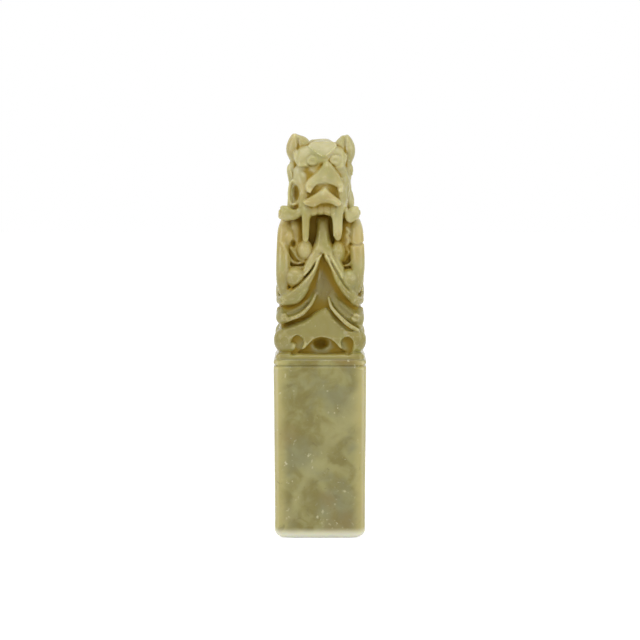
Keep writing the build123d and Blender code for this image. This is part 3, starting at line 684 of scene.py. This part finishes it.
def mane(stone):
    """Locks of mane that fall from behind the ears down the sides and the back, each ending in a flick."""
    stone.add(slab((0, -4.2, 34.4), (5.6, 3.2, 8.0), 2.6), 1.0)
    for face, hand in SIDES:
        side_mane(stone, face, hand)
    stone.lines(
        0.18, 0.22, 0.5,
        [(-6.7, 39.9), (-6.3, 38.2), (-6.7, 36.2), (-6.3, 34.0)],
        [(-6.1, 40.2), (-5.8, 38.8), (-6.2, 37.6)],
        [(6.4, 40.1), (6.8, 38.2), (6.4, 36.2), (6.8, 34.0)],
        [(5.8, 40.0), (6.2, 38.2), (5.8, 36.4), (6.2, 34.8)],
    )
    back_mane(stone)


def side_mane(stone, face, hand):
    """Five strands down one side, longer towards the back of the stone."""
    strands = ((-3.0, 9.6, 0.7), (-0.9, 12.8, 0.9), (1.4, 15.2, 1.0), (3.7, 17.6, 1.0), (5.9, 19.0, 1.0))
    for number, (start, fall, sway) in enumerate(strands):
        top = 40.6 + 0.8 * number
        shrink = 0.5 * (number == 4)
        high_out = 5.9 - 0.5 * number
        route = mirrored([
            (start, high_out - 1.6, top + 0.6, 0.8),
            (start, high_out, top - 0.3, 1.2),
            (start - sway * 0.4, 5.5 - shrink, top - fall * 0.34, 1.3),
            (start + sway * 0.6, 5.6 - shrink, top - fall * 0.64, 1.35),
            (start + sway * 0.2, 6.1, top - fall * 0.88, 1.05),
            (start + sway * 1.3, 6.9, top - fall, 0.45),
        ], hand)
        stone.add(rope(route, face), 0.25)
        for shift in (-0.6, -0.15, 0.3, 0.7):
            stone.line(beside(route[1:], shift), 0.14, 0.18, 3.5, face)


def back_mane(stone):
    """Four locks down the back, and five over them."""
    for layer, places in ((0, (-1.5, -0.5, 0.5, 1.5)), (1, (-2, -1, 0, 1, 2))):
        raised = 0.7 * layer
        for place in places:
            side = np.sign(place)
            sway = 0.45 * (-1) ** round(place + 0.1)
            tip = 24.0 + 1.3 * abs(place) - 3.0 * (1 - layer)
            route = [
                (0.8 * place, 1.0 + raised, 45.6, 0.8),
                (1.5 * place, 4.2 + raised, 43.6, 1.2),
                (2.2 * place + sway, 6.3 + raised, 38.6, 1.5),
                (2.6 * place - sway + 0.4 * side, 7.2 + raised, 33.0, 1.5),
                (3.0 * place + sway, 7.5 + raised, 28.4, 1.25),
                (3.5 * place + 0.6 * side - sway, 8.1 + raised, tip, 0.35),
            ]
            stone.add(rope(route, "back"), 0.2)
            for shift in (-0.7, -0.25, 0.25, 0.7):
                hair = [(across + shift * (rise < 44), rise) for across, out, rise, radius in route]
                stone.line(hair, 0.15, 0.18, 3.0, "back")


def flanks(stone):
    """The scales of the back, and on each side the shoulder, the scaled ribs, the thigh with the hind foot,
    the flames behind the foreleg and two curls."""
    stone.scales([(-5.9, 10.0), (-5.9, 28.0), (5.9, 28.0), (5.9, 10.0)], 1.6, 0.4, 6.0, "back")
    ribs = [(-5.4, 23.4), (-3.0, 28.4), (3.4, 28.4), (6.6, 24.0), (7.0, 14.0), (0.0, 12.0), (-5.4, 10.4)]
    thigh_line = [(6.9, 15.4), (4.4, 18.0), (1.0, 16.2), (0.0, 12.6)]
    hind_foot = [(5.6, 7.0, 10.6, 1.4), (2.6, 8.0, 8.9, 1.3), (-0.8, 8.3, 8.2, 1.15), (-2.6, 8.3, 8.2, 0.9)]
    for face, hand in SIDES:
        stone.add(ball((hand * -0.8, 6.2, 25.2), (3.6, 2.8, 4.2), face), 0.5)
        stone.add(ball((hand * 0.6, 5.6, 17.6), (6.4, 3.5, 9.0), face), 0.6)
        stone.scales(mirrored(ribs, hand), 1.6, 0.42, 6.4, face)
        stone.add(ball((hand * 3.6, 6.9, 13.2), (3.5, 2.8, 4.3), face), 0.3)
        stone.line(mirrored(thigh_line, hand), 0.28, 0.45, 6.0, face)
        stone.add(rope(mirrored(hind_foot, hand), face), 0.3)
        for toe in (0.2, -1.1, -2.4):
            stone.line(mirrored([(toe, 9.6), (toe - 0.3, 7.6)], hand), 0.18, 0.35, 6.8, face)
        for number in range(3):
            foot, tip = -4.2 + 1.4 * number, 20.6 - 1.2 * number
            flame = [
                (foot, 7.4, 12.4, 0.9), (foot - 0.5, 8.4, 15.6, 0.95), (foot + 0.5, 8.8, tip - 1.6, 0.7),
                (foot - 0.1, 9.0, tip, 0.3),
            ]
            stone.add(rope(mirrored(flame, hand), face), 0.2)
            groove = [(foot, 12.0), (foot - 0.4, 15.6), (foot + 0.4, tip - 1.4)]
            stone.line(mirrored(groove, hand), 0.15, 0.16, 6.0, face)
        for rise, lift in ((8.6, 1.0), (12.4, 1.2)):
            curl = [
                (-8.6, 7.6, rise, 1.0), (-7.0, 8.4, rise - 0.2, 0.95), (-5.5, 8.6, rise + 0.5 * lift, 0.75),
                (-5.3, 8.8, rise + 1.5 * lift, 0.5), (-6.1, 8.9, rise + 1.7 * lift, 0.35),
            ]
            stone.add(rope(mirrored(curl, hand), face), 0.35)


def spine_and_tail(stone):
    """A row of scales down the spine, the tail, which curls up over the clouds, and flames beside it."""
    for number in range(6):
        rise = 23.4 - 2.1 * number
        stone.add(ball((0, 7.3, rise), (2.0, 1.9, 1.9), "back"), 0.12)
        stone.line([(-1.2, rise + 0.7), (0, rise - 0.9), (1.2, rise + 0.7)], 0.2, 0.15, 6.0, "back")
    tail = [
        (-4.6, 6.6, 8.0, 1.3), (-1.0, 7.6, 8.2, 1.5), (3.2, 8.0, 8.8, 1.6), (6.2, 8.0, 11.8, 1.5),
        (5.4, 8.2, 15.8, 1.4), (2.2, 8.5, 16.2, 1.2), (1.3, 8.8, 13.4, 1.0), (3.2, 9.0, 12.4, 0.75),
        (3.7, 9.1, 13.6, 0.4),
    ]
    stone.add(rope(tail, "back"), 0.2)
    for shift in (-0.5, 0.0, 0.5):
        groove = [
            (across + shift * (rise > 10), rise + shift * (rise < 10))
            for across, out, rise, radius in tail[:6]
        ]
        stone.line(groove, 0.17, 0.22, 6.0, "back")
    for number, across in enumerate((-7.0, -4.9, -2.9)):
        flame = [
            (across + 1.4, 6.8, 9.2, 1.2), (across + 0.1, 7.7, 12.6 + number, 1.3),
            (across + 0.9, 8.3, 16.2 + number, 0.95), (across - 0.4, 8.8, 19.0 + number, 0.35),
        ]
        stone.add(rope(flame, "back"), 0.2)
        for shift in (-0.35, 0.35):
            stone.line(beside(flame, shift), 0.17, 0.2, 6.0, "back")


# From the grid to a mesh

def surface(field, axes):
    """The surface of a field of distances: one point in each cell that it crosses, and quads between them."""
    inside = field < 0
    corners = list(product((0, 1), repeat=3))
    size = [length - 1 for length in field.shape]
    count = sum(
        inside[tuple(slice(low, low + length) for low, length in zip(corner, size))].astype(np.int8)
        for corner in corners
    )
    crossed = (count > 0) & (count < len(corners))
    cells = np.argwhere(crossed)
    index = np.full(crossed.shape, -1, dtype=np.int32)
    index[crossed] = np.arange(len(cells))
    total = np.zeros((len(cells), 3))
    hits = np.zeros(len(cells))
    for start in corners:
        for axis in range(3):
            if start[axis]:
                continue
            end = tuple(value + (number == axis) for number, value in enumerate(start))
            near = field[tuple((cells + start).T)]
            far = field[tuple((cells + end).T)]
            hit = (near < 0) != (far < 0)
            share = near[hit] / (near[hit] - far[hit])
            total[hit] += start
            total[hit, axis] += share
            hits[hit] += 1
    low = np.array([axis[0] for axis in axes])
    points = low + GRID_STEP * (cells + total / hits[:, None])
    quads = []
    for axis in range(3):
        one, other = [(axis + 1) % 3, (axis + 2) % 3]
        edge = inside != np.roll(inside, -1, axis=axis)
        edges = np.argwhere(edge)
        edges = edges[(edges[:, axis] < size[axis]) & (edges[:, one] > 0) & (edges[:, other] > 0)]
        edges = edges[(edges[:, one] < size[one]) & (edges[:, other] < size[other])]
        ring = []
        for step_one, step_other in ((0, 0), (1, 0), (1, 1), (0, 1)):
            cell = edges.copy()
            cell[:, one] -= step_one
            cell[:, other] -= step_other
            ring.append(index[tuple(cell.T)])
        ring = np.stack(ring, axis=1)
        outward = inside[tuple(edges.T)]
        quads.append(np.where(outward[:, None], ring, ring[:, ::-1]))
    return points, np.concatenate(quads)


def blurred(values, reach):
    """Values averaged over a cube, twice."""
    width = 2 * reach + 1
    for axis in range(3):
        padding = [(reach + 1, reach) if number == axis else (0, 0) for number in range(3)]
        starts = np.arange(values.shape[axis])
        for _ in range(2):
            total = np.cumsum(np.pad(values, padding, mode="edge"), axis=axis, dtype=np.float32)
            values = (np.take(total, starts + width, axis=axis) - np.take(total, starts, axis=axis)) / width
    return values


def mesh_object(name, points, faces):
    """An object from points in metres and faces as rows of point numbers."""
    mesh = bpy.data.meshes.new(name)
    mesh.vertices.add(len(points))
    mesh.vertices.foreach_set("co", np.asarray(points, dtype=np.float32).ravel())
    sides = faces.shape[1]
    mesh.loops.add(faces.size)
    mesh.loops.foreach_set("vertex_index", faces.ravel().astype(np.int32))
    mesh.polygons.add(len(faces))
    mesh.polygons.foreach_set("loop_start", np.arange(0, faces.size, sides, dtype=np.int32))
    mesh.update(calc_edges=True)
    mesh.validate()
    mesh.polygons.foreach_set("use_smooth", np.ones(len(mesh.polygons), dtype=bool))
    made = bpy.data.objects.new(name, mesh)
    bpy.context.scene.collection.objects.link(made)
    return made


def thinned(made, triangles):
    """The object with its mesh reduced to a number of triangles."""
    present = sum(len(polygon.vertices) - 2 for polygon in made.data.polygons)
    if present > triangles:
        modifier = made.modifiers.new("thin", "DECIMATE")
        modifier.ratio = triangles / present
        whole = bpy.data.meshes.new_from_object(made.evaluated_get(bpy.context.evaluated_depsgraph_get()))
        made.modifiers.clear()
        made.data = whole
    return made


def grid_values(stone, values, made):
    """Values of the grid at an object's points."""
    count = len(made.data.vertices)
    places = np.empty(count * 3, dtype=np.float32)
    made.data.vertices.foreach_get("co", places)
    places = places.reshape(count, 3)
    places[:, 2] -= block_high.z
    places /= UNIT
    low = np.array([axis[0] for axis in stone.axes])
    cells = np.clip(((places - low) / GRID_STEP).round().astype(int), 0, np.array(values.shape) - 1)
    return values[tuple(cells.T)]


def set_attribute(made, name, values):
    """Stores a number for each point of an object, for its material."""
    attribute = made.data.attributes.new(name, "FLOAT", "POINT")
    attribute.data.foreach_set("value", np.asarray(values, dtype=np.float32))


REGIONS = (
    core, clouds, flanks, drapes, arms, mane, spine_and_tail, brow, jaw, beard, muzzle, whiskers, ears,
)


def carving():
    """The dragon, sculpted out of one stone. Its attributes go from -1 on a ridge to 1 in a hollow."""
    stone = Stone()
    for region in REGIONS:
        region(stone)
    stone.trim()
    points, quads = surface(stone.field, stone.axes)
    points = points * UNIT + np.array((0, 0, block_high.z))
    made = thinned(mesh_object("dragon_carving", points, quads), TRIANGLE_BUDGET)
    filled = np.clip(0.5 - stone.field / GRID_STEP, 0, 1)
    for name, reach in NEIGHBOURHOODS:
        share = grid_values(stone, blurred(filled, reach), made)
        set_attribute(made, name, np.clip((share - 0.5) * NEIGHBOURHOOD_CONTRAST, -1, 1))
    return made


# The block

def block_profile(height):
    """The side of the block from its foot up, as heights and how far each lies inside the full width. Its
    rings lie closest where it bends: at its foot, its line and its shoulder."""
    foot_edge, shoulder_edge = FOOT_EDGE * UNIT, SHOULDER_EDGE * UNIT
    groove, groove_width = height - GROOVE_DROP * UNIT, GROOVE_WIDTH * UNIT
    profile = []
    for turn in np.linspace(0, math.pi / 2, 10):
        profile.append((foot_edge * (1 - math.cos(turn)), foot_edge * (1 - math.sin(turn))))
    for rise in np.linspace(foot_edge * 1.4, groove - 3 * groove_width, 44):
        profile.append((rise, 0.0))
    for rise in np.linspace(groove - 2.5 * groove_width, groove + 1.6 * groove_width, 14):
        profile.append((rise, 0.0))
    for turn in np.linspace(0, math.pi / 2, 9):
        profile.append((height - shoulder_edge * (1 - math.sin(turn)), shoulder_edge * (1 - math.cos(turn))))
    for number, (rise, inset) in enumerate(profile):
        taper = FOOT_INSET * UNIT * (1 - rise / height)
        gap = (rise - groove) / groove_width
        profile[number] = (rise, inset + taper + GROOVE_DEPTH * UNIT * math.exp(-gap * gap))
    return profile


def block():
    """The block, with eased edges, the line round its shoulder and an attribute that places painted light on
    its upright edges and foot.
    """
    half = (block_high.x - block_low.x) / 2
    profile = block_profile(block_high.z - block_low.z)
    points = []
    for rise, inset in profile:
        for number in range(BLOCK_TURNS):
            turn = math.tau * (number + 0.5) / BLOCK_TURNS
            points.append((*rounded_square(turn, half - inset, BLOCK_CORNER * UNIT), block_low.z + rise))
    points = np.array(points)
    on_face = np.abs(points[:, :2]) > half * FACE_SHARE
    points[:, :2] += FACE_WAVER * UNIT * waver(points)[:, None] * np.sign(points[:, :2]) * on_face
    ring = np.arange(BLOCK_TURNS)
    after = np.roll(ring, -1)
    band = np.stack((ring, after, after + BLOCK_TURNS, ring + BLOCK_TURNS), axis=1)
    faces = np.concatenate([band + level * BLOCK_TURNS for level in range(len(profile) - 1)])
    made = mesh_object("block_stone_body", points, faces)
    # painted light: the reflection of the side softboxes near the upright corners, and light at the foot,
    # which faces down
    upright = np.abs(points[:, :2]).min(axis=1) / half
    foot = 1 - (points[:, 2] - block_low.z) / (PAINTED_LIGHT_FOOT * UNIT)
    painted_light = np.maximum((upright - PAINTED_LIGHT_EDGE_START) / PAINTED_LIGHT_EDGE_SPAN, foot)
    set_attribute(made, "edge", np.clip(painted_light, 0, 1))
    close_end(made, ring[::-1])
    close_end(made, ring + (len(profile) - 1) * BLOCK_TURNS)
    return made


def rounded_square(turn, half, corner):
    """A point of a square outline with round corners, in the direction of a turn."""
    across, out = math.cos(turn), math.sin(turn)
    reach = 1 / max(abs(across), abs(out))
    straight = half - corner
    x, y = across * reach * half, out * reach * half
    if abs(x) <= straight or abs(y) <= straight:
        return x, y
    centre = Vector((math.copysign(straight, x), math.copysign(straight, y)))
    offset = Vector((x, y)) - centre
    share = math.atan2(abs(offset.y), abs(offset.x))
    return (
        centre.x + math.copysign(corner * math.cos(share), x),
        centre.y + math.copysign(corner * math.sin(share), y),
    )


def waver(points):
    """The slow unevenness of a face that was ground by hand, from -1 to 0."""
    x, y, z = (points / UNIT).T
    return -0.5 - 0.25 * (np.sin(0.31 * z + 0.2 * x + 1.0) + np.sin(0.17 * z - 0.35 * y + 0.4 * x))


def close_end(made, ring):
    """Closes an open end with one face, whose ring of points runs anticlockwise as seen from outside."""
    shell = bmesh.new()
    shell.from_mesh(made.data)
    shell.verts.ensure_lookup_table()
    shell.faces.new([shell.verts[number] for number in ring.tolist()])
    shell.to_mesh(made.data)
    shell.free()


# Materials

def linear(red, green, blue):
    """A colour written as it looks on a screen, up to 255, as the renderer's linear values."""
    return tuple(((value / 255 + 0.055) / 1.055) ** 2.4 for value in (red, green, blue)) + (1.0,)


class Nodes:
    """Short forms for building a tree of nodes."""

    def __init__(self, tree):
        self.tree = tree

    def new(self, kind, **settings):
        node = self.tree.nodes.new(kind)
        for key, value in settings.items():
            setattr(node, key, value)
        return node

    def link(self, source, target):
        self.tree.links.new(source, target)

    def fill(self, socket, value):
        """Links an output to a socket, or sets it to a value."""
        if isinstance(value, bpy.types.NodeSocket):
            self.link(value, socket)
        else:
            socket.default_value = value

    def math(self, operation, one, other=0.0, clamp=False):
        node = self.new("ShaderNodeMath", operation=operation, use_clamp=clamp)
        self.fill(node.inputs[0], one)
        self.fill(node.inputs[1], other)
        return node.outputs[0]

    def range(self, value, low, high, start=0.0, end=1.0):
        """A number that goes smoothly from start to end as value goes from low to high."""
        node = self.new("ShaderNodeMapRange", interpolation_type="SMOOTHSTEP")
        for socket, number in zip(node.inputs, (value, low, high, start, end)):
            self.fill(socket, number)
        return node.outputs[0]

    def mix(self, share, one, other):
        node = self.new("ShaderNodeMix", data_type="RGBA")
        self.fill(node.inputs[0], share)
        self.fill(node.inputs[6], one)
        self.fill(node.inputs[7], other)
        return node.outputs[2]

    @cached_property
    def place(self):
        """Places on the object, in metres."""
        return self.new("ShaderNodeTexCoord").outputs["Object"]

    @cached_property
    def height(self):
        """The height of each place."""
        node = self.new("ShaderNodeSeparateXYZ")
        self.link(self.place, node.inputs[0])
        return node.outputs[2]

    def noise(self, scale, detail=3.0, distortion=0.0):
        node = self.new("ShaderNodeTexNoise")
        self.link(self.place, node.inputs["Vector"])
        node.inputs["Scale"].default_value = scale
        node.inputs["Detail"].default_value = detail
        node.inputs["Distortion"].default_value = distortion
        return node.outputs["Fac"]

    def patches(self, scale, detail, distortion, low, high, most=1.0):
        """Noise with soft borders: nothing below low, and most above high."""
        return self.range(self.noise(scale, detail, distortion), low, high, 0.0, most)

    def attribute(self, name):
        return self.new("ShaderNodeAttribute", attribute_name=name).outputs["Fac"]

    def layered(self, colour, *layers):
        """A colour with others laid over it, each given as its share and its colour on a screen."""
        for share, tint in layers:
            colour = self.mix(share, colour, linear(*tint))
        return colour

    def seen(self):
        """1 where the camera sees a surface by itself, by its mirror image or through glass, and 0 in its
        light."""
        path = self.new("ShaderNodeLightPath").outputs
        total = path["Is Camera Ray"]
        for name in ("Is Glossy Ray", "Is Transmission Ray"):
            total = self.math("ADD", total, path[name], clamp=True)
        return total


def new_material(name):
    """A material, its nodes and its shader."""
    material = bpy.data.materials.new(name)
    material.use_nodes = True
    return material, Nodes(material.node_tree), material.node_tree.nodes["Principled BSDF"]


def polish(nodes, shader, roughness, unpolished=None):
    """What all of the stone shares: its gloss, which fades where it is unpolished, its glow and the small
    dents of hand polishing."""
    rough = nodes.range(nodes.noise(500.0), 0.3, 0.7, roughness, roughness + ROUGHNESS_SPREAD)
    if unpolished is None:
        shader.inputs["Specular IOR Level"].default_value = GLOSS
    else:
        rough = nodes.math("ADD", rough, nodes.math("MULTIPLY", unpolished, UNPOLISHED_ROUGHNESS))
        gloss = nodes.range(unpolished, 0.0, 1.0, GLOSS, UNPOLISHED_GLOSS)
        nodes.link(gloss, shader.inputs["Specular IOR Level"])
    nodes.link(rough, shader.inputs["Roughness"])
    shader.inputs["IOR"].default_value = 1.6
    shader.inputs["Subsurface Weight"].default_value = 0.8
    shader.inputs["Subsurface Radius"].default_value = (1.0, 0.85, 0.4)
    shader.inputs["Subsurface Scale"].default_value = 0.0016
    bump = nodes.new("ShaderNodeBump")
    bump.inputs["Strength"].default_value = 0.08
    bump.inputs["Distance"].default_value = 0.0006
    nodes.link(nodes.noise(260.0), bump.inputs["Height"])
    nodes.link(bump.outputs["Normal"], shader.inputs["Normal"])


def carving_stone():
    """Yellow-green jade, lighter on its edges with painted light, and olive-brown in its hollows with painted
    shade and polishing residue.
    """
    material, nodes, shader = new_material("carving_stone")
    jaw_foot, beard_foot, beard_top, brow_foot = [
        block_high.z + rise * UNIT for rise in (26.8, 10.8, 28.8, 40.8)
    ]
    crease, depth = nodes.attribute("crease"), nodes.attribute("depth")
    hollow = nodes.range(nodes.attribute("hollow"), 0.0, 0.65)
    mottle = nodes.patches(170.0, 5.0, 0.6, 0.35, 0.68)
    colour = nodes.layered(
        nodes.mix(mottle, linear(183, 173, 98), linear(211, 203, 146)),
        # Warm patches, the lower body darker, partly the stone's olive zone and partly painted shade for
        # light that falls from above, the head lighter with painted light from above, and green patches
        (nodes.patches(90.0, 2.0, 0.0, 0.5, 0.70, 0.65), (200, 176, 100)),
        # painted shade with the stone's olive zone: darker towards the lower body
        (nodes.range(nodes.height, jaw_foot, beard_foot, 0.0, 0.8), (154, 142, 66)),
        # painted light: lighter towards the head
        (nodes.range(nodes.height, beard_top, brow_foot, 0.0, 0.3), (190, 184, 142)),
        (nodes.patches(130.0, 3.0, 0.4, 0.5, 0.66, 0.45), (170, 170, 96)),
        # Painted shade where the stone lies deep, painted light on its ridges, painted shade with polishing
        # residue in its hollows and creases, and flecks
        # painted shade: a broad darkening where much stone lies round a point
        (nodes.range(depth, 0.0, 0.7, 0.0, 0.75), (148, 128, 42)),
        # painted light: lighter on the ridges, for light that shines through thin edges
        (nodes.range(crease, -0.15, -0.9, 0.0, 0.5), (226, 219, 172)),
        # painted shade with polishing residue: browner in the hollows
        (nodes.math("MULTIPLY", hollow, 0.9), (178, 148, 50)),
        # painted shade with polishing residue: darker in the creases
        (nodes.range(crease, 0.25, 0.9, 0.0, 0.3), (126, 104, 24)),
        (nodes.patches(1500.0, 2.0, 0.0, 0.70, 0.76, 0.4), (222, 216, 176)),
    )
    nodes.link(colour, shader.inputs["Base Color"])
    polish(nodes, shader, 0.16, hollow)
    return material


def block_stone():
    """Mottled olive and grey-green jade with a pale vein, small flecks that are partly painted glints, and
    yellow painted light on its edges and foot.
    """
    material, nodes, shader = new_material("block_stone")
    foot_top, foot_low = [block_low.z + rise * UNIT for rise in (2.6, 0.8)]
    edge = nodes.attribute("edge")
    ragged_painted_light = nodes.math("ADD", edge, nodes.math("MULTIPLY", nodes.noise(200.0, 7.0, 0.5), 0.5))
    speck_and_glint = nodes.patches(1000.0, 4.0, 0.0, 0.60, 0.68)
    group = nodes.range(nodes.noise(230.0), 0.50, 0.62, 0.05, 0.9)
    mottle = nodes.patches(260.0, 8.0, 0.5, 0.36, 0.64)
    colour = nodes.layered(
        nodes.mix(mottle, linear(144, 133, 56), linear(175, 168, 102)),
        # Grey-green clouds, brown clouds, the vein, and a patchy yellow painted light and a pale painted
        # light on the upright edges and the foot
        (nodes.patches(110.0, 7.0, 0.3, 0.46, 0.66, 0.7), (150, 148, 102)),
        (nodes.patches(85.0, 6.0, 0.2, 0.50, 0.66, 0.7), (152, 130, 58)),
        (pale_vein(nodes), (190, 184, 122)),
        # painted light: a patchy yellow border along the upright edges and the foot
        (nodes.range(ragged_painted_light, 0.45, 1.25, 0.0, 0.9), (204, 194, 124)),
        # painted light: a pale rim at the upright corners and the foot
        (nodes.range(edge, 0.8, 1.0, 0.0, 0.75), (236, 226, 186)),
        # Groups of pale specks that are partly painted glints, dark patches, and painted light on the foot
        # pale specks that are partly painted glints
        (nodes.math("MULTIPLY", speck_and_glint, group), (216, 210, 164)),
        (nodes.range(nodes.noise(380.0, 7.0, 1.0), 0.38, 0.28, 0.0, 0.4), (112, 102, 50)),
        # painted light: the foot, which faces down, nearly white
        (nodes.range(nodes.height, foot_top, foot_low, 0.0, 0.95), (255, 252, 228)),
    )
    nodes.link(colour, shader.inputs["Base Color"])
    polish(nodes, shader, 0.15)
    return material


def pale_vein(nodes):
    """A wandering sheet that slants through the stone, and shows as a vein on each face."""
    slant = (-0.86, 0.25, 0.51)
    offset, half_width = 0.0106, 0.0030
    tilt = nodes.new("ShaderNodeVectorMath", operation="DOT_PRODUCT")
    nodes.link(nodes.place, tilt.inputs[0])
    tilt.inputs[1].default_value = slant
    wander = nodes.math("MULTIPLY", nodes.noise(190.0, 8.0, 0.4), 0.009)
    across = nodes.math("ADD", tilt.outputs[1], wander)
    off_vein = nodes.math("ABSOLUTE", nodes.math("SUBTRACT", across, offset))
    return nodes.range(off_vein, half_width, half_width / 10, 0.0, 0.5)


# Camera, light and floor

def floor_and_world(height):
    """A plain pale floor and an even white world, which the camera sees as white."""
    half = FLOOR_HALF * height
    foot = cad_box[0][2]
    points = np.array([(x * half, y * half, foot) for x, y in ((-1, -1), (1, -1), (1, 1), (-1, 1))])
    floor = mesh_object("floor", points, np.array([[0, 1, 2, 3]]))
    material, nodes, shader = new_material("floor_paper")
    shader.inputs["Base Color"].default_value = (0.85, 0.85, 0.85, 1.0)
    shader.inputs["Roughness"].default_value = 0.9
    shader.inputs["Emission Color"].default_value = (1.0, 1.0, 1.0, 1.0)
    nodes.link(nodes.math("MULTIPLY", nodes.seen(), FLOOR_LIFT), shader.inputs["Emission Strength"])
    floor.data.materials.append(material)

    world = bpy.data.worlds.new("studio")
    world.use_nodes = True
    nodes = Nodes(world.node_tree)
    background = world.node_tree.nodes["Background"]
    background.inputs["Color"].default_value = (1.0, 1.0, 1.0, 1.0)
    nodes.link(nodes.range(nodes.seen(), 0.0, 1.0, WORLD_LIGHT, 1.0), background.inputs["Strength"])
    bpy.context.scene.world = world


def aimed(name, data, place, target):
    """A lamp or a camera at a place, turned to a target."""
    holder = bpy.data.objects.new(name, data)
    holder.location = place
    holder.rotation_euler = (target - place).to_track_quat("-Z", "Y").to_euler()
    bpy.context.scene.collection.objects.link(holder)
    return holder


def studio():
    """Soft light from both sides and above, and the camera of the photograph."""
    bpy.context.scene.view_settings.view_transform = "Standard"
    height = cad_box[1][2] - cad_box[0][2]
    floor_and_world(height)
    for name, place, size, power in SOFTBOXES:
        lamp = bpy.data.lights.new(name, "AREA")
        lamp.size = size * height
        lamp.energy = power * (UNIT / MILLIMETRE) ** 2
        aimed(name, lamp, Vector(place) * height, Vector((0, 0, 0.5 * height)))

    distance = VIEW_DISTANCE * UNIT
    elevation = math.radians(VIEW_DEGREES)
    target = Vector((0.0, 0.0, cad_box[0][2] + VIEW_MIDDLE * UNIT))
    camera = bpy.data.cameras.new("camera")
    camera.sensor_width = SENSOR_WIDTH
    camera.lens = SENSOR_WIDTH * VIEW_DISTANCE / VIEW_HEIGHT
    camera.clip_start = 0.01
    camera.clip_end = 10.0
    place = target + distance * Vector((0.0, -math.cos(elevation), math.sin(elevation)))
    bpy.context.scene.camera = aimed("camera", camera, place, target)


# The whole object

dragon = carving()
dragon.data.materials.append(carving_stone())
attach(dragon, "root")
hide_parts(*[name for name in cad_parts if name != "seal_block"])

body = block()
body.data.materials.append(block_stone())
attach(body, "root")
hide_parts("seal_block")

studio()
